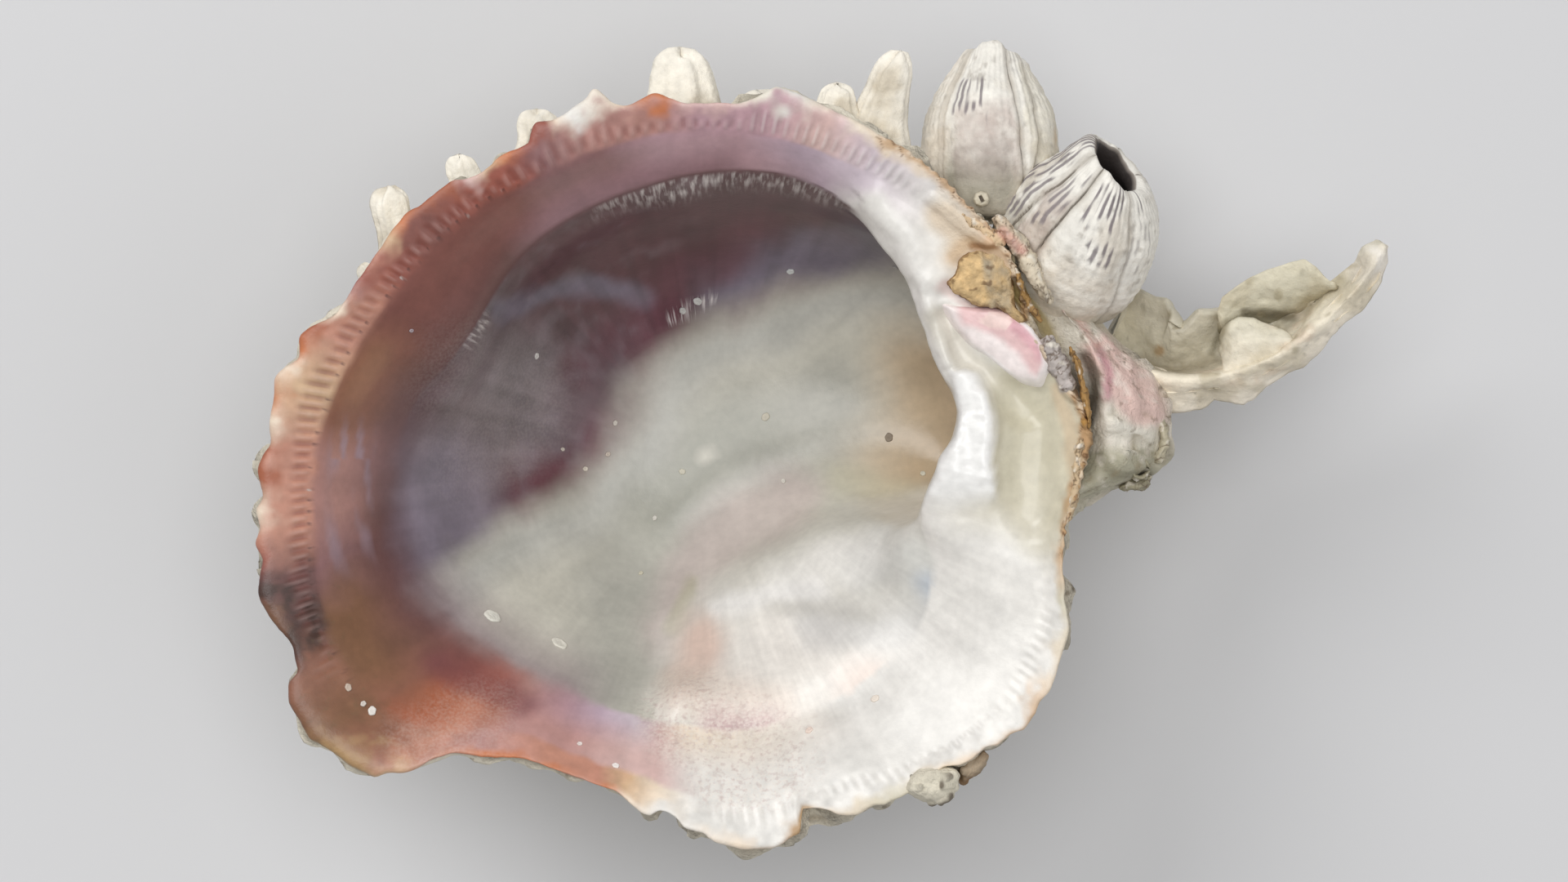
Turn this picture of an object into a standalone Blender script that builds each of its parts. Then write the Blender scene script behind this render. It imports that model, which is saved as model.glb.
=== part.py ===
"""One cemented valve of a spiny oyster, lying on its flat attachment scar with its cup facing up.

The valve grew as one piece: a thick bowl with a toothed hinge, a beak beside the hinge, tongue-shaped
spines outside and one big leafy frond. Two large barnacles and a young one grew on it, a crust of another
animal sits on its lower edge, and a dried piece of the ligament is left in its pit.

Frame: +Z up, the origin is the middle of the scar, +X points from the cup to the beak.
All sizes below are in millimetres, and angles are in degrees round the origin, from +X towards +Y.
"""

import math

import bpy
import numpy as np
from mathutils import Vector

MM = 0.001
GAP = 0.42  # clearance between pieces that grew on each other

# The valve's bowl. Each list is one real line on the shell, as (angle, radius) or (angle, radius, height).

MARGIN = [
    (0, 49.2), (5, 49.6), (10, 48.4), (15, 46.9), (20, 45.5), (25, 45.8), (30, 46.9), (37, 47.5),
    (45, 47.0), (55, 47.3), (65, 47.2), (73, 47.8), (78, 48.5), (82, 47.2), (86, 45.5), (92, 45.1),
    (97, 47.0), (102, 46.1), (106, 49.0), (111, 47.5), (117, 47.7), (119, 46.0), (125, 46.3),
    (130, 46.8), (134, 48.0), (142, 49.2), (150, 49.6), (158, 50.4), (163, 53.6), (166, 53.6),
    (170, 55.7), (177, 55.4), (182, 57.0), (185, 56.8), (191, 58.3), (193, 58.1), (198, 59.5),
    (204, 58.0), (207, 58.6), (210, 61.4), (215, 62.1), (220, 60.6), (225, 57.8), (227, 55.2),
    (229, 51.2), (233, 48.2), (239, 45.1), (248, 44.2), (255, 44.3), (261, 46.5), (263, 45.9),
    (268, 47.9), (274, 50.2), (280, 50.9), (284, 49.9), (286, 47.1), (289, 47.8), (293, 50.1),
    (300, 50.2), (308, 51.8), (320, 53.4), (330, 53.0), (337, 50.8), (343, 48.7), (350, 47.8),
    (355, 48.4),
]
MARGIN_HEIGHT = [
    (0, 47.4), (22, 46.4), (45, 48.6), (70, 49.6), (95, 50.0), (135, 50.0), (175, 49.2), (205, 48.0),
    (220, 47.2), (232, 46.2), (250, 45.8), (268, 47.4), (290, 48.4), (320, 49.0), (345, 48.0),
]
SCAR_EDGE = [
    (0, 27.0), (50, 22.5), (95, 20.0), (140, 23.0), (180, 26.5), (225, 24.5), (270, 20.5), (320, 24.5),
]
SCAR_STEP = (4.6, 2.2)  # the rounded foot: out and up from the scar's edge
BELLY_LOW = [
    (0, 46.0, 11.0), (30, 41.0, 12.0), (60, 32.5, 12.5), (95, 29.6, 12.5), (135, 32.0, 12.5),
    (180, 36.0, 12.5), (215, 37.0, 12.5), (248, 30.0, 13.5), (280, 31.0, 14.5), (315, 34.5, 15.0),
    (342, 39.0, 13.0),
]
BELLY_HIGH = [
    (1, 55.6, 24.0), (10, 56.0, 25.0), (20, 52.0, 26.0), (40, 44.5, 28.0), (60, 41.6, 29.0),
    (95, 38.8, 29.0), (135, 41.4, 29.0), (180, 46.6, 29.0), (215, 49.4, 28.5), (248, 38.8, 29.0),
    (280, 41.4, 30.0), (315, 44.4, 30.0), (338, 46.0, 28.0), (350, 46.8, 26.0), (355, 50.0, 25.0),
]
UMBO_EDGE = [
    (340, 48.4), (350, 48.2), (354, 49.6), (356, 53.5), (358, 58.4), (1, 60.6), (6, 60.6), (10, 59.4),
    (14, 56.4), (18, 54.4), (23, 51.6), (29, 48.6), (45, 46.6), (62, 46.0), (95, 44.2), (135, 47.2),
    (158, 48.6), (180, 53.4), (198, 56.0), (214, 58.2), (228, 49.0), (248, 42.6), (262, 44.4),
    (280, 48.6), (300, 48.8), (322, 51.2),
]
UMBO_EDGE_HEIGHT = [
    (0, 35.0), (14, 37.0), (30, 39.5), (60, 41.5), (130, 42.0), (215, 40.0), (280, 41.0), (330, 41.0),
    (350, 38.0),
]
BEAK_RIDGE = [
    (352, 47.7, 44.6), (356, 49.8, 43.6), (2, 51.6, 43.4), (8, 52.3, 43.8), (14, 51.8, 43.6),
    (20, 50.3, 43.2), (27, 48.5, 43.6), (36, 47.6, 45.0),
]
BEAK_GROOVE = [
    (352, 47.6, 46.4), (358, 48.9, 41.8), (5, 49.9, 40.4), (12, 49.1, 40.6), (20, 47.2, 41.8),
    (27, 46.8, 43.6), (36, 47.5, 46.8),
]
BEAK_SPAN = (350.0, 38.0)  # the angles between which the ligament groove parts the beak from the margin
BEAK_FADE = 7.0
PLAIN_EDGE = ((0.7, 3.2), (0.25, 1.4))  # elsewhere: how far in from the margin and below it they run

CRENULE_FOOT = [
    (0, 46.5), (12, 45.2), (22, 43.4), (32, 43.9), (42, 44.4), (52, 43.2), (62, 42.5), (90, 42.3),
    (118, 42.0), (130, 43.3), (140, 44.1), (150, 45.2), (160, 46.9), (170, 48.6), (180, 50.3),
    (190, 51.4), (200, 53.2), (212, 54.0), (220, 52.6), (226, 50.0), (231, 45.6), (240, 42.4),
    (255, 42.0), (265, 43.3), (280, 45.6), (292, 45.2), (305, 47.6), (320, 49.0), (332, 48.4),
    (342, 46.0), (351, 45.2),
]
CRENULE_DROP = 1.5
PALLIAL_SAG = (0.5, 0.58, 0.9)  # from crenules to inner edge: share of the way in and down, and bulge
INNER_EDGE = [
    (0, 30.8, 43.6), (5, 32.5, 43.8), (12, 33.4, 43.6), (22, 32.6, 43.0), (32, 33.3, 43.0),
    (42, 35.0, 43.4), (50, 35.9, 43.6), (60, 37.8, 43.2), (70, 38.2, 42.6), (80, 37.6, 42.0),
    (92, 36.6, 41.4), (105, 35.6, 40.8), (130, 35.2, 40.2), (150, 34.2, 39.6), (158, 35.0, 39.0),
    (168, 38.0, 38.2), (180, 40.3, 37.4), (196, 42.0, 36.8), (210, 39.8, 37.0), (225, 37.3, 37.0),
    (245, 35.2, 37.2), (256, 34.8, 37.6), (264, 35.0, 39.2), (280, 36.0, 39.6), (300, 36.0, 40.0),
    (320, 36.0, 40.4), (335, 33.0, 41.2), (346, 28.8, 42.2), (354, 29.8, 43.2),
]
UNDER_EDGE = [
    (0, 31.6, 39.4), (12, 34.3, 39.0), (25, 33.9, 38.6), (40, 36.0, 39.0), (55, 36.8, 38.8),
    (70, 36.4, 37.6), (95, 34.4, 36.6), (130, 33.4, 35.8), (155, 32.8, 36.2), (180, 37.4, 34.6),
    (196, 39.0, 34.2), (220, 35.4, 34.2), (245, 33.0, 34.4), (257, 32.8, 34.8), (265, 31.6, 37.6),
    (290, 32.0, 37.8), (320, 32.0, 38.4), (337, 28.6, 39.6), (350, 29.2, 39.6),
]
CUP_WALL = [
    (0, 38.6, 26.0), (15, 41.6, 26.0), (35, 40.0, 27.0), (52, 36.4, 28.0), (70, 33.6, 28.0),
    (95, 31.0, 27.0), (130, 30.6, 26.6), (155, 29.6, 27.6), (180, 32.6, 28.4), (198, 33.6, 28.4),
    (225, 30.4, 28.6), (245, 28.6, 28.2), (256, 28.4, 28.0), (266, 27.4, 30.0), (280, 26.0, 31.0),
    (300, 25.0, 31.4), (320, 24.0, 32.0), (338, 25.4, 32.6), (350, 33.0, 28.0),
]
CUP_FOOT = [
    (0, 34.0, 14.5), (20, 34.0, 14.5), (45, 31.0, 15.4), (70, 26.4, 15.8), (95, 24.0, 15.4),
    (130, 23.4, 15.4), (155, 23.0, 16.6), (180, 24.4, 18.0), (210, 24.0, 18.4), (235, 22.0, 18.2),
    (250, 20.8, 18.6), (260, 20.4, 20.4), (270, 19.4, 22.4), (285, 17.4, 23.6), (305, 16.6, 24.0),
    (325, 17.4, 24.0), (340, 21.6, 22.6), (351, 29.0, 17.0),
]
CUP_FLOOR = [
    (0, 17.0, 9.8), (45, 16.6, 9.6), (90, 13.0, 9.8), (135, 12.6, 10.0), (180, 13.0, 10.4),
    (225, 12.4, 10.6), (255, 11.0, 10.8), (285, 9.8, 11.0), (315, 9.8, 10.8), (340, 12.0, 10.2),
]
CUP_CENTRE = 9.7
RING_STEPS = (1, 2, 2, 2, 1, 1, 1, 1, 2, 2, 1, 2, 2, 2, 1)  # rows from each line to the next, scar to floor
LEDGES = {3: 0.7, 4: -0.5, 5: 0.9, 6: -0.5, 7: 1.0}  # growth ledges: how far each of these rows stands out
LUMPS = ((7, 0.5, 0.4), (11, 0.45, 2.1), (17, 0.3, 4.0))  # waves round the outside: count, height, phase
ANGLE_STEPS = 108

# Ridges (+) and hollows (-) of the hinge plate: (angle, radius) points along it, half-width and height.
HINGE_FORMS = [
    ([(349, 34.6), (355, 34.2), (1, 34.8), (7, 35.4), (13, 34.8), (19, 33.8)], 2.3, 2.7),  # white tooth
    ([(12, 43.8), (18, 42.8), (24, 40.4), (30, 37.8)], 1.7, 2.5),  # pink tooth
    ([(346, 41.0), (355, 41.6), (5, 41.6), (12, 39.6), (20, 37.0), (28, 35.0)], 2.3, -2.4),  # socket between
    ([(25, 43.0), (31, 43.0), (37, 42.2)], 2.6, -1.8),  # ligament pit
]


def round_curve(stations, column=1):
    """A smooth closed curve through (angle, value...) stations, as a function of the angle in degrees."""
    rows = sorted(stations)
    angle = np.array([row[0] for row in rows], float)
    value = np.array([row[column] for row in rows], float)
    x = np.concatenate([angle[-2:] - 360, angle, angle[:2] + 360])
    y = np.concatenate([value[-2:], value, value[:2]])
    run = np.diff(x)
    slope = np.diff(y) / run
    tangent = np.zeros_like(y)
    same_way = slope[:-1] * slope[1:] > 0
    safe = np.where(same_way, slope[:-1] + slope[1:], 1.0)
    tangent[1:-1] = np.where(same_way, 2 * slope[:-1] * slope[1:] / safe, 0.0)

    def at(degrees):
        a = np.mod(np.asarray(degrees, float) - angle[0], 360) + angle[0]
        i = np.clip(np.searchsorted(x, a, side="right") - 1, 1, len(x) - 3)
        t = (a - x[i]) / run[i]
        rise = (3 - 2 * t) * t * t
        return (
            y[i] * (1 - rise)
            + y[i + 1] * rise
            + run[i] * t * (1 - t) * ((1 - t) * tangent[i] - t * tangent[i + 1])
        )

    return at


def span_weight(angles, span, fade):
    """1 between the two angles of the span, falling smoothly to 0 over fade degrees inside each end."""
    start, end = span
    middle = start + (np.mod(end - start, 360)) / 2
    half = np.mod(end - start, 360) / 2
    away = np.abs(np.mod(angles - middle + 180, 360) - 180)
    t = np.clip((half - away) / fade, 0, 1)
    return t * t * (3 - 2 * t)


def line_of(stations):
    return round_curve(stations, 1), round_curve(stations, 2)


def valve_lines(angles):
    """The radius and height of each named line of the bowl at these angles, from scar to cup floor."""
    margin, margin_z = round_curve(MARGIN)(angles), round_curve(MARGIN_HEIGHT)(angles)
    scar = round_curve(SCAR_EDGE)(angles)
    beak = span_weight(angles, BEAK_SPAN, BEAK_FADE)
    lines = [(scar, 0 * scar), (scar + SCAR_STEP[0], 0 * scar + SCAR_STEP[1])]
    for stations in (BELLY_LOW, BELLY_HIGH):
        radius, height = line_of(stations)
        lines.append((radius(angles), height(angles)))
    lines.append((round_curve(UMBO_EDGE)(angles), round_curve(UMBO_EDGE_HEIGHT)(angles)))
    for stations, (inset, drop) in zip((BEAK_RIDGE, BEAK_GROOVE), PLAIN_EDGE):
        radius, height = line_of(stations)
        lines.append(
            (
                beak * radius(angles) + (1 - beak) * (margin - inset),
                beak * height(angles) + (1 - beak) * (margin_z - drop),
            )
        )
    lines.append((margin, margin_z))
    foot = round_curve(CRENULE_FOOT)(angles)
    edge_r, edge_z = (curve(angles) for curve in line_of(INNER_EDGE))
    lines.append((foot, margin_z - CRENULE_DROP))
    in_share, down_share, bulge = PALLIAL_SAG
    lines.append(
        (
            foot + in_share * (edge_r - foot),
            (1 - down_share) * (margin_z - CRENULE_DROP) + down_share * edge_z + bulge,
        )
    )
    lines.append((edge_r, edge_z))
    for stations in (UNDER_EDGE, CUP_WALL, CUP_FOOT, CUP_FLOOR):
        radius, height = line_of(stations)
        lines.append((radius(angles), height(angles)))
    lines.append((0 * margin, 0 * margin + CUP_CENTRE))
    return np.array(lines)


def rows_through(lines, steps):
    """Rows along a smooth curve through the named lines, steps[k] rows from line k to line k + 1."""
    chord = np.maximum(np.linalg.norm(np.diff(lines, axis=0), axis=1), 1e-6)[:, None, :]
    direction = np.diff(lines, axis=0) / chord
    tangent = np.empty_like(lines)
    tangent[0], tangent[-1] = direction[0], direction[-1]
    tangent[1:-1] = (direction[:-1] * chord[1:] + direction[1:] * chord[:-1]) / (chord[:-1] + chord[1:])
    rows = []
    for k, count in enumerate(steps):
        for t in np.arange(count) / count:
            rise = (3 - 2 * t) * t * t
            bulge = chord[k] * t * (1 - t) * ((1 - t) * tangent[k] - t * tangent[k + 1])
            rows.append(lines[k] * (1 - rise) + lines[k + 1] * rise + bulge)
    return np.array(rows)


def on_plan(stations):
    return np.array([(r * math.cos(math.radians(a)), r * math.sin(math.radians(a))) for a, r in stations])


def distance_to(path, x, y):
    """The distance in plan from each point to a path of straight pieces."""
    nearest = np.full(np.shape(x), 1e9)
    for a, b in zip(path[:-1], path[1:]):
        d = b - a
        t = np.clip(((x - a[0]) * d[0] + (y - a[1]) * d[1]) / (d @ d), 0, 1)
        nearest = np.minimum(nearest, np.hypot(x - a[0] - t * d[0], y - a[1] - t * d[1]))
    return nearest


def valve_points(angles, steps):
    """The bowl's points in millimetres, a ring to each row, from the scar's edge to the cup's centre."""
    rows = rows_through(valve_lines(angles), steps)
    turn = np.radians(angles)
    for row, out in LEDGES.items():
        rows[row, 0] += out + sum(h * np.sin(n * turn + phase + row) for n, h, phase in LUMPS)
    x, y, z = rows[:, 0] * np.cos(turn), rows[:, 0] * np.sin(turn), np.maximum(rows[:, 1], 0)
    first = sum(steps[:7])  # the margin's row
    last = sum(steps[:10])  # the inner edge's row
    for stations, width, height in HINGE_FORMS:
        away = distance_to(on_plan(stations), x[first : last + 1], y[first : last + 1])
        z[first : last + 1] += height * np.exp(-((away / width) ** 2))
    return np.stack([x, y, z], axis=-1)


def mesh_object(name, points, faces, material=None):
    mesh = bpy.data.meshes.new(name)
    mesh.from_pydata([tuple(p) for p in np.asarray(points) * MM], [], faces)
    mesh.update()
    mesh.shade_smooth()
    obj = bpy.data.objects.new(name, mesh)
    bpy.context.scene.collection.objects.link(obj)
    if material:
        mesh.materials.append(material)
    return obj


def tube_faces(rows, around, first_pole, last_pole):
    """Faces of a closed tube of rings, numbered row by row, with one pole before it and one after it."""
    faces = []
    for j in range(around):
        k = (j + 1) % around
        faces.append((first_pole, k, j))
        faces.append((last_pole, (rows - 1) * around + j, (rows - 1) * around + k))
        for i in range(rows - 1):
            faces.append((i * around + j, i * around + k, (i + 1) * around + k, (i + 1) * around + j))
    return faces


def closed_tube(name, rings, start, end, material=None):
    """A solid whose skin runs from the point start, through the rings, to the point end."""
    rings = np.asarray(rings)
    rows, around = rings.shape[:2]
    points = np.concatenate([rings.reshape(-1, 3), [start], [end]])
    return mesh_object(name, points, tube_faces(rows, around, rows * around, rows * around + 1), material)


def surface_finish(name, colour, roughness):
    material = bpy.data.materials.new(name)
    material.use_nodes = True
    shader = material.node_tree.nodes["Principled BSDF"]
    shader.inputs["Base Color"].default_value = (*colour, 1)
    shader.inputs["Roughness"].default_value = roughness
    shader.inputs["Metallic"].default_value = 0
    return material


# Spines. Each is a tongue with a rounded tip, a little hollow on its upper side.

EDGE_SPINES = [
    # root x, y, z; tip x, y, z; width at the root and tip; the ones that reach out past the margin
    (22.8, 39.6, 41.0, 25.3, 52.3, 42.5, 8.6, 4.6),
    (17.2, 43.2, 41.5, 17.2, 48.3, 42.0, 6.2, 4.8),
    (7.4, 43.6, 42.0, 7.0, 47.2, 42.0, 6.4, 5.2),
    (-3.2, 42.6, 41.0, -2.8, 52.8, 42.0, 11.0, 8.4),
    (-20.6, 39.0, 41.0, -21.2, 45.0, 41.5, 7.2, 5.8),
    (-29.4, 33.4, 40.5, -31.4, 39.4, 41.0, 5.4, 4.6),
    (-38.6, 27.2, 40.0, -40.6, 34.9, 41.0, 5.4, 6.6),
    (-42.0, 21.6, 40.0, -44.4, 24.8, 40.5, 3.6, 2.6),
]
SPINE_ROWS = [
    # height on the outside, number round, length, first angle: the rows hidden under the margin
    (34.0, 16, 6.5, 99.0),
    (24.5, 14, 6.0, 107.0),
    (15.0, 12, 5.0, 96.0),
]
SPINE_ROWS_END = 342.0  # degrees; the beak and the barnacles take up the rest
MARGIN_COVER = 1.6  # how far the hidden spines stay inside the margin, seen from above
SPINE_SIDES = 6
SPINE_RINGS = ((0.0, 1.0), (0.55, 0.86), (0.93, 0.74))  # along it, share of its length and of its width
SPINE_THICKNESS = 0.42  # of its width
SPINE_ROOT_DEPTH = 2.4
SPINE_WIDTH = (4.6, 0.8, 0.72)  # of the hidden ones: at the root, how much it changes, and the tip's share
SPINE_LENGTH_CHANGE = 0.34
SPINE_LEAN = (0.55, 0.2)  # towards the margin, and how much it changes
SPINE_TUCK = (1.2, 0.35)  # a spine that would reach past the margin: how much steeper, and its least length


def spine(name, root, tip, root_width, tip_width, side):
    """A flattened tongue from root to tip; side is the direction of its width."""
    root, tip = Vector(root), Vector(tip)
    along = (tip - root).normalized()
    side = (Vector(side) - along * Vector(side).dot(along)).normalized()
    thick = along.cross(side)
    length = (tip - root).length
    rings = []
    for share, width in SPINE_RINGS:
        middle = root + along * length * share
        half = 0.5 * ((1 - share) * root_width + share * tip_width) * width
        ring = []
        for j in range(SPINE_SIDES):
            a = 2 * math.pi * j / SPINE_SIDES
            ring.append(middle + side * half * math.cos(a) + thick * half * SPINE_THICKNESS * math.sin(a))
        rings.append(ring)
    return closed_tube(name, rings, root - along * 0.2, tip)


def outside_point(angle, height):
    """The point on the bowl's outside at this angle and height, its outward normal, and the way up."""
    lines = rows_through(valve_lines(np.array([angle])), (8,) * 4 + (1,) * 11)[: 8 * 4 + 1, :, 0]
    i = int(np.clip(np.searchsorted(lines[:, 1], height), 1, len(lines) - 1))
    t = (height - lines[i - 1, 1]) / (lines[i, 1] - lines[i - 1, 1])
    radius, z = lines[i - 1] + t * (lines[i] - lines[i - 1])
    up = (lines[i] - lines[i - 1]) / np.linalg.norm(lines[i] - lines[i - 1])
    c, s = math.cos(math.radians(angle)), math.sin(math.radians(angle))
    point = Vector((radius * c, radius * s, z))
    way_up = Vector((up[0] * c, up[0] * s, up[1]))
    normal = Vector((up[1] * c, up[1] * s, -up[0]))
    return point, normal, way_up


def make_spines():
    spines = []
    for n, (x0, y0, z0, x1, y1, z1, root_width, tip_width) in enumerate(EDGE_SPINES):
        outward = Vector((x1 - x0, y1 - y0, 0))
        side = (-outward.y, outward.x, 0)
        spines.append(spine(f"edge_spine_{n}", (x0, y0, z0), (x1, y1, z1), root_width, tip_width, side))
    for row, (height, count, length, first) in enumerate(SPINE_ROWS):
        for n in range(count):
            angle = first + (SPINE_ROWS_END - first) * n / (count - 1)
            point, normal, way_up = outside_point(angle, height)
            reach = length * (1 + SPINE_LENGTH_CHANGE * math.sin(2.3 * n + 1.7 * row))
            lean = SPINE_LEAN[0] + SPINE_LEAN[1] * math.sin(1.9 * n + row)
            along = (normal + way_up * lean).normalized()
            cover = round_curve(MARGIN)(angle) - MARGIN_COVER - math.hypot(point.x, point.y)
            outward = math.hypot(along.x, along.y)
            if reach * outward > cover:
                along = (along + Vector((0, 0, 1)) * SPINE_TUCK[0]).normalized()
                reach = min(reach, max(cover / math.hypot(along.x, along.y), SPINE_TUCK[1] * reach))
            tip = point + along * reach
            root = point - along * SPINE_ROOT_DEPTH
            side = Vector((-point.y, point.x, 0)).normalized()
            wide = SPINE_WIDTH[0] + SPINE_WIDTH[1] * math.cos(3.1 * n)
            spines.append(spine(f"row{row}_spine_{n}", root, tip, wide, SPINE_WIDTH[2] * wide, side))
    return spines


def joined(name, objects):
    """One mesh object holding all of these."""
    points, faces = [], []
    for obj in objects:
        first = len(points)
        points += [tuple(v.co / MM) for v in obj.data.vertices]
        faces += [tuple(first + i for i in face.vertices) for face in obj.data.polygons]
        bpy.data.objects.remove(obj)
    return mesh_object(name, points, faces)


# The frond: a worn leafy outgrowth of the beak, hollow along its upper side. Points are x, y, z.

FROND_BACK_EDGE = [
    (52.0, 23.6, 27.0), (57.4, 22.0, 32.0), (60.6, 19.4, 33.0), (61.8, 16.4, 33.5), (64.6, 19.0, 35.0),
    (67.4, 19.0, 35.5), (69.0, 22.6, 36.5), (73.0, 24.6, 37.5), (77.6, 25.4, 38.5), (80.6, 23.2, 38.5),
    (83.6, 24.4, 39.0), (87.0, 26.6, 40.0),
]
FROND_CREASE = [
    (52.0, 14.0, 27.0), (58.0, 12.8, 28.5), (64.0, 12.0, 29.5), (70.0, 12.8, 31.0), (76.0, 15.2, 33.0),
    (81.0, 19.4, 36.0), (86.6, 25.0, 38.5),
]
FROND_CREST = [
    (53.0, 10.6, 33.0), (60.0, 9.6, 35.0), (66.6, 9.4, 36.0), (73.0, 11.6, 37.0), (78.4, 15.4, 38.5),
    (83.6, 20.4, 40.0), (88.0, 25.6, 41.0),
]
FROND_FRONT_EDGE = [
    (53.0, 6.4, 30.0), (60.6, 6.4, 31.0), (67.4, 7.6, 31.5), (71.4, 7.0, 32.0), (75.6, 10.8, 33.0),
    (80.6, 14.0, 34.5), (85.4, 19.0, 36.5), (88.4, 23.6, 38.5),
]
FROND_THICKNESS = (3.4, 2.0)  # at the beak and at the tip
FROND_COLUMNS = 18
FROND_SLOPE_SAG = (0, -0.5, -0.9)
FROND_UNDERSIDE = (0.7, 1.7, 1.4, 1.1, 0.5)  # share of the thickness below each line, front edge to back
FROND_ROOT = (-4.0, 0, -1.0)  # how far its buried end runs on into the beak
FROND_TIP = (0.9, 1.0, 0.1)


def along_path(path, share):
    """Points at these shares of the path's length."""
    path = np.array(path, float)
    reach = np.concatenate([[0], np.cumsum(np.linalg.norm(np.diff(path, axis=0), axis=1))])
    return np.stack([np.interp(share * reach[-1], reach, path[:, i]) for i in range(3)], axis=-1)


def make_frond():
    share = np.linspace(0, 1, FROND_COLUMNS)
    back, crease, crest, front = (
        along_path(path, share) for path in (FROND_BACK_EDGE, FROND_CREASE, FROND_CREST, FROND_FRONT_EDGE)
    )
    thick = (FROND_THICKNESS[0] + (FROND_THICKNESS[1] - FROND_THICKNESS[0]) * share)[:, None]
    slope = 0.5 * (back + crease) + np.array(FROND_SLOPE_SAG)
    upper = [back, slope, crease, 0.5 * (crease + crest), crest, front]
    lower = [
        line - np.array([0, 0, 1.0]) * thick * part
        for line, part in zip((front, crest, crease, slope, back), FROND_UNDERSIDE)
    ]
    rings = np.stack(upper + lower, axis=1)
    start = rings[0].mean(axis=0) + np.array(FROND_ROOT)
    end = rings[-1].mean(axis=0) + np.array(FROND_TIP)
    return closed_tube("frond", rings, start, end)


# Barnacles. Each is a ring of wall plates round a hollow, open at its top.

BARNACLE_AROUND = 24
BARNACLE_ROOT = 4.0  # how far its foot is carried down, to be trimmed to the valve
BARNACLE_PROFILE = [
    # share of the height; shares of the foot's, belly's and mouth's radius; depth of seams; height of peaks
    (0.0, 1.0, 0.0, 0.0, 0.08, 0.0),
    (0.3, 0.0, 1.0, 0.0, 0.09, 0.0),
    (0.62, 0.0, 0.86, 0.1, 0.1, 0.0),
    (0.86, 0.0, 0.5, 0.55, 0.1, 0.0),
    (0.96, 0.0, 0.0, 1.12, 0.1, 0.07),
    (0.95, 0.0, 0.0, 0.82, 0.05, 0.07),
    (0.78, 0.0, 0.0, 1.0, 0.0, 0.0),
    (0.5, 0.0, 0.62, 0.0, 0.0, 0.0),
    (0.28, 0.0, 0.6, 0.0, 0.0, 0.0),
]
BARNACLE_FLOOR = 0.26  # share of the height at which its hollow ends
BARNACLE_ROOT_RING = (0.8, 0.04)  # share of the foot's radius, depth of the seams
SEAM_SHARE = 0.6  # of a plate's swell that stands inside the mean radius


PLATES = 6
# foot, axis, height, and the radii of foot, belly and mouth
OPEN_BARNACLE = ((45.6, 23.4, 34.0), (0.40, 0.75, 0.53), 19.6, 7.6, 8.9, 3.1)
TALL_BARNACLE = ((37.0, 34.0, 35.0), (0.04, 0.99, -0.08), 20.2, 7.6, 8.8, 2.3)

# The small lumps: middle, size (length, width, thickness) and direction in plan.

SPAT = ((36.0, 33.6, 43.0), (2.9, 2.5, 3.2), 30)
LIGAMENT_FLAKE = ((36.4, 22.6, 44.6), (8.6, 6.0, 3.0), 118)
EDGE_CRUST = ((29.6, -42.2, 46.0), (9.4, 6.0, 5.0), 20)
LUMP_ROWS = 4
LUMP_AROUND = 11
LUMP_SWELL = 0.1  # how uneven its outline is


def make_barnacle(name, foot, axis, height, foot_radius, belly, mouth_radius, material):
    """Foot is the middle of its base, axis the way it points, belly the widest radius."""
    axis = Vector(axis).normalized()
    side = axis.cross(Vector((0, 0, 1))).normalized()
    front = axis.cross(side)
    foot = Vector(foot)
    turn = np.arange(BARNACLE_AROUND) * 2 * math.pi / BARNACLE_AROUND

    def ring(level, radius, seam, peak=0.0):
        ridge = np.abs(np.cos(turn * PLATES / 2))
        out = radius * (1 + seam * (ridge - SEAM_SHARE))
        up = level + peak * ridge
        points = []
        for o, t, u in zip(out, turn, up):
            points.append(tuple(foot + side * o * math.cos(t) + front * o * math.sin(t) + axis * u))
        return points

    rings = [ring(-BARNACLE_ROOT, foot_radius * BARNACLE_ROOT_RING[0], BARNACLE_ROOT_RING[1])]
    for level, foot_share, belly_share, mouth_share, seam, peak in BARNACLE_PROFILE:
        radius = foot_share * foot_radius + belly_share * belly + mouth_share * mouth_radius
        rings.append(ring(level * height, radius, seam, peak * height))
    start = foot - axis * BARNACLE_ROOT
    end = foot + axis * BARNACLE_FLOOR * height
    return closed_tube(name, rings, start, end, material)


def lump(name, middle, size, turn, material):
    """A flattened, uneven lump: size is its length, width and thickness, turn its direction in plan."""
    c, s = math.cos(math.radians(turn)), math.sin(math.radians(turn))
    rings = []
    for i in range(1, LUMP_ROWS + 1):
        polar = math.pi * i / (LUMP_ROWS + 1)
        ring = []
        for j in range(LUMP_AROUND):
            a = 2 * math.pi * j / LUMP_AROUND
            swell = 1 + LUMP_SWELL * math.sin(3 * a + i) * math.sin(2 * polar + 1)
            u = 0.5 * size[0] * math.sin(polar) * math.cos(a) * swell
            v = 0.5 * size[1] * math.sin(polar) * math.sin(a) * swell
            w = -0.5 * size[2] * math.cos(polar)
            ring.append((middle[0] + u * c - v * s, middle[1] + u * s + v * c, middle[2] + w))
        rings.append(ring)
    below = (middle[0], middle[1], middle[2] - 0.5 * size[2])
    above = (middle[0], middle[1], middle[2] + 0.5 * size[2])
    return closed_tube(name, rings, below, above, material)


def boolean(obj, other, operation):
    modifier = obj.modifiers.new(operation.lower(), "BOOLEAN")
    modifier.operation = operation
    modifier.solver = "EXACT"
    modifier.object = other


def as_tool(obj):
    obj.hide_render = True
    obj.display_type = "WIRE"
    return obj


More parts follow.
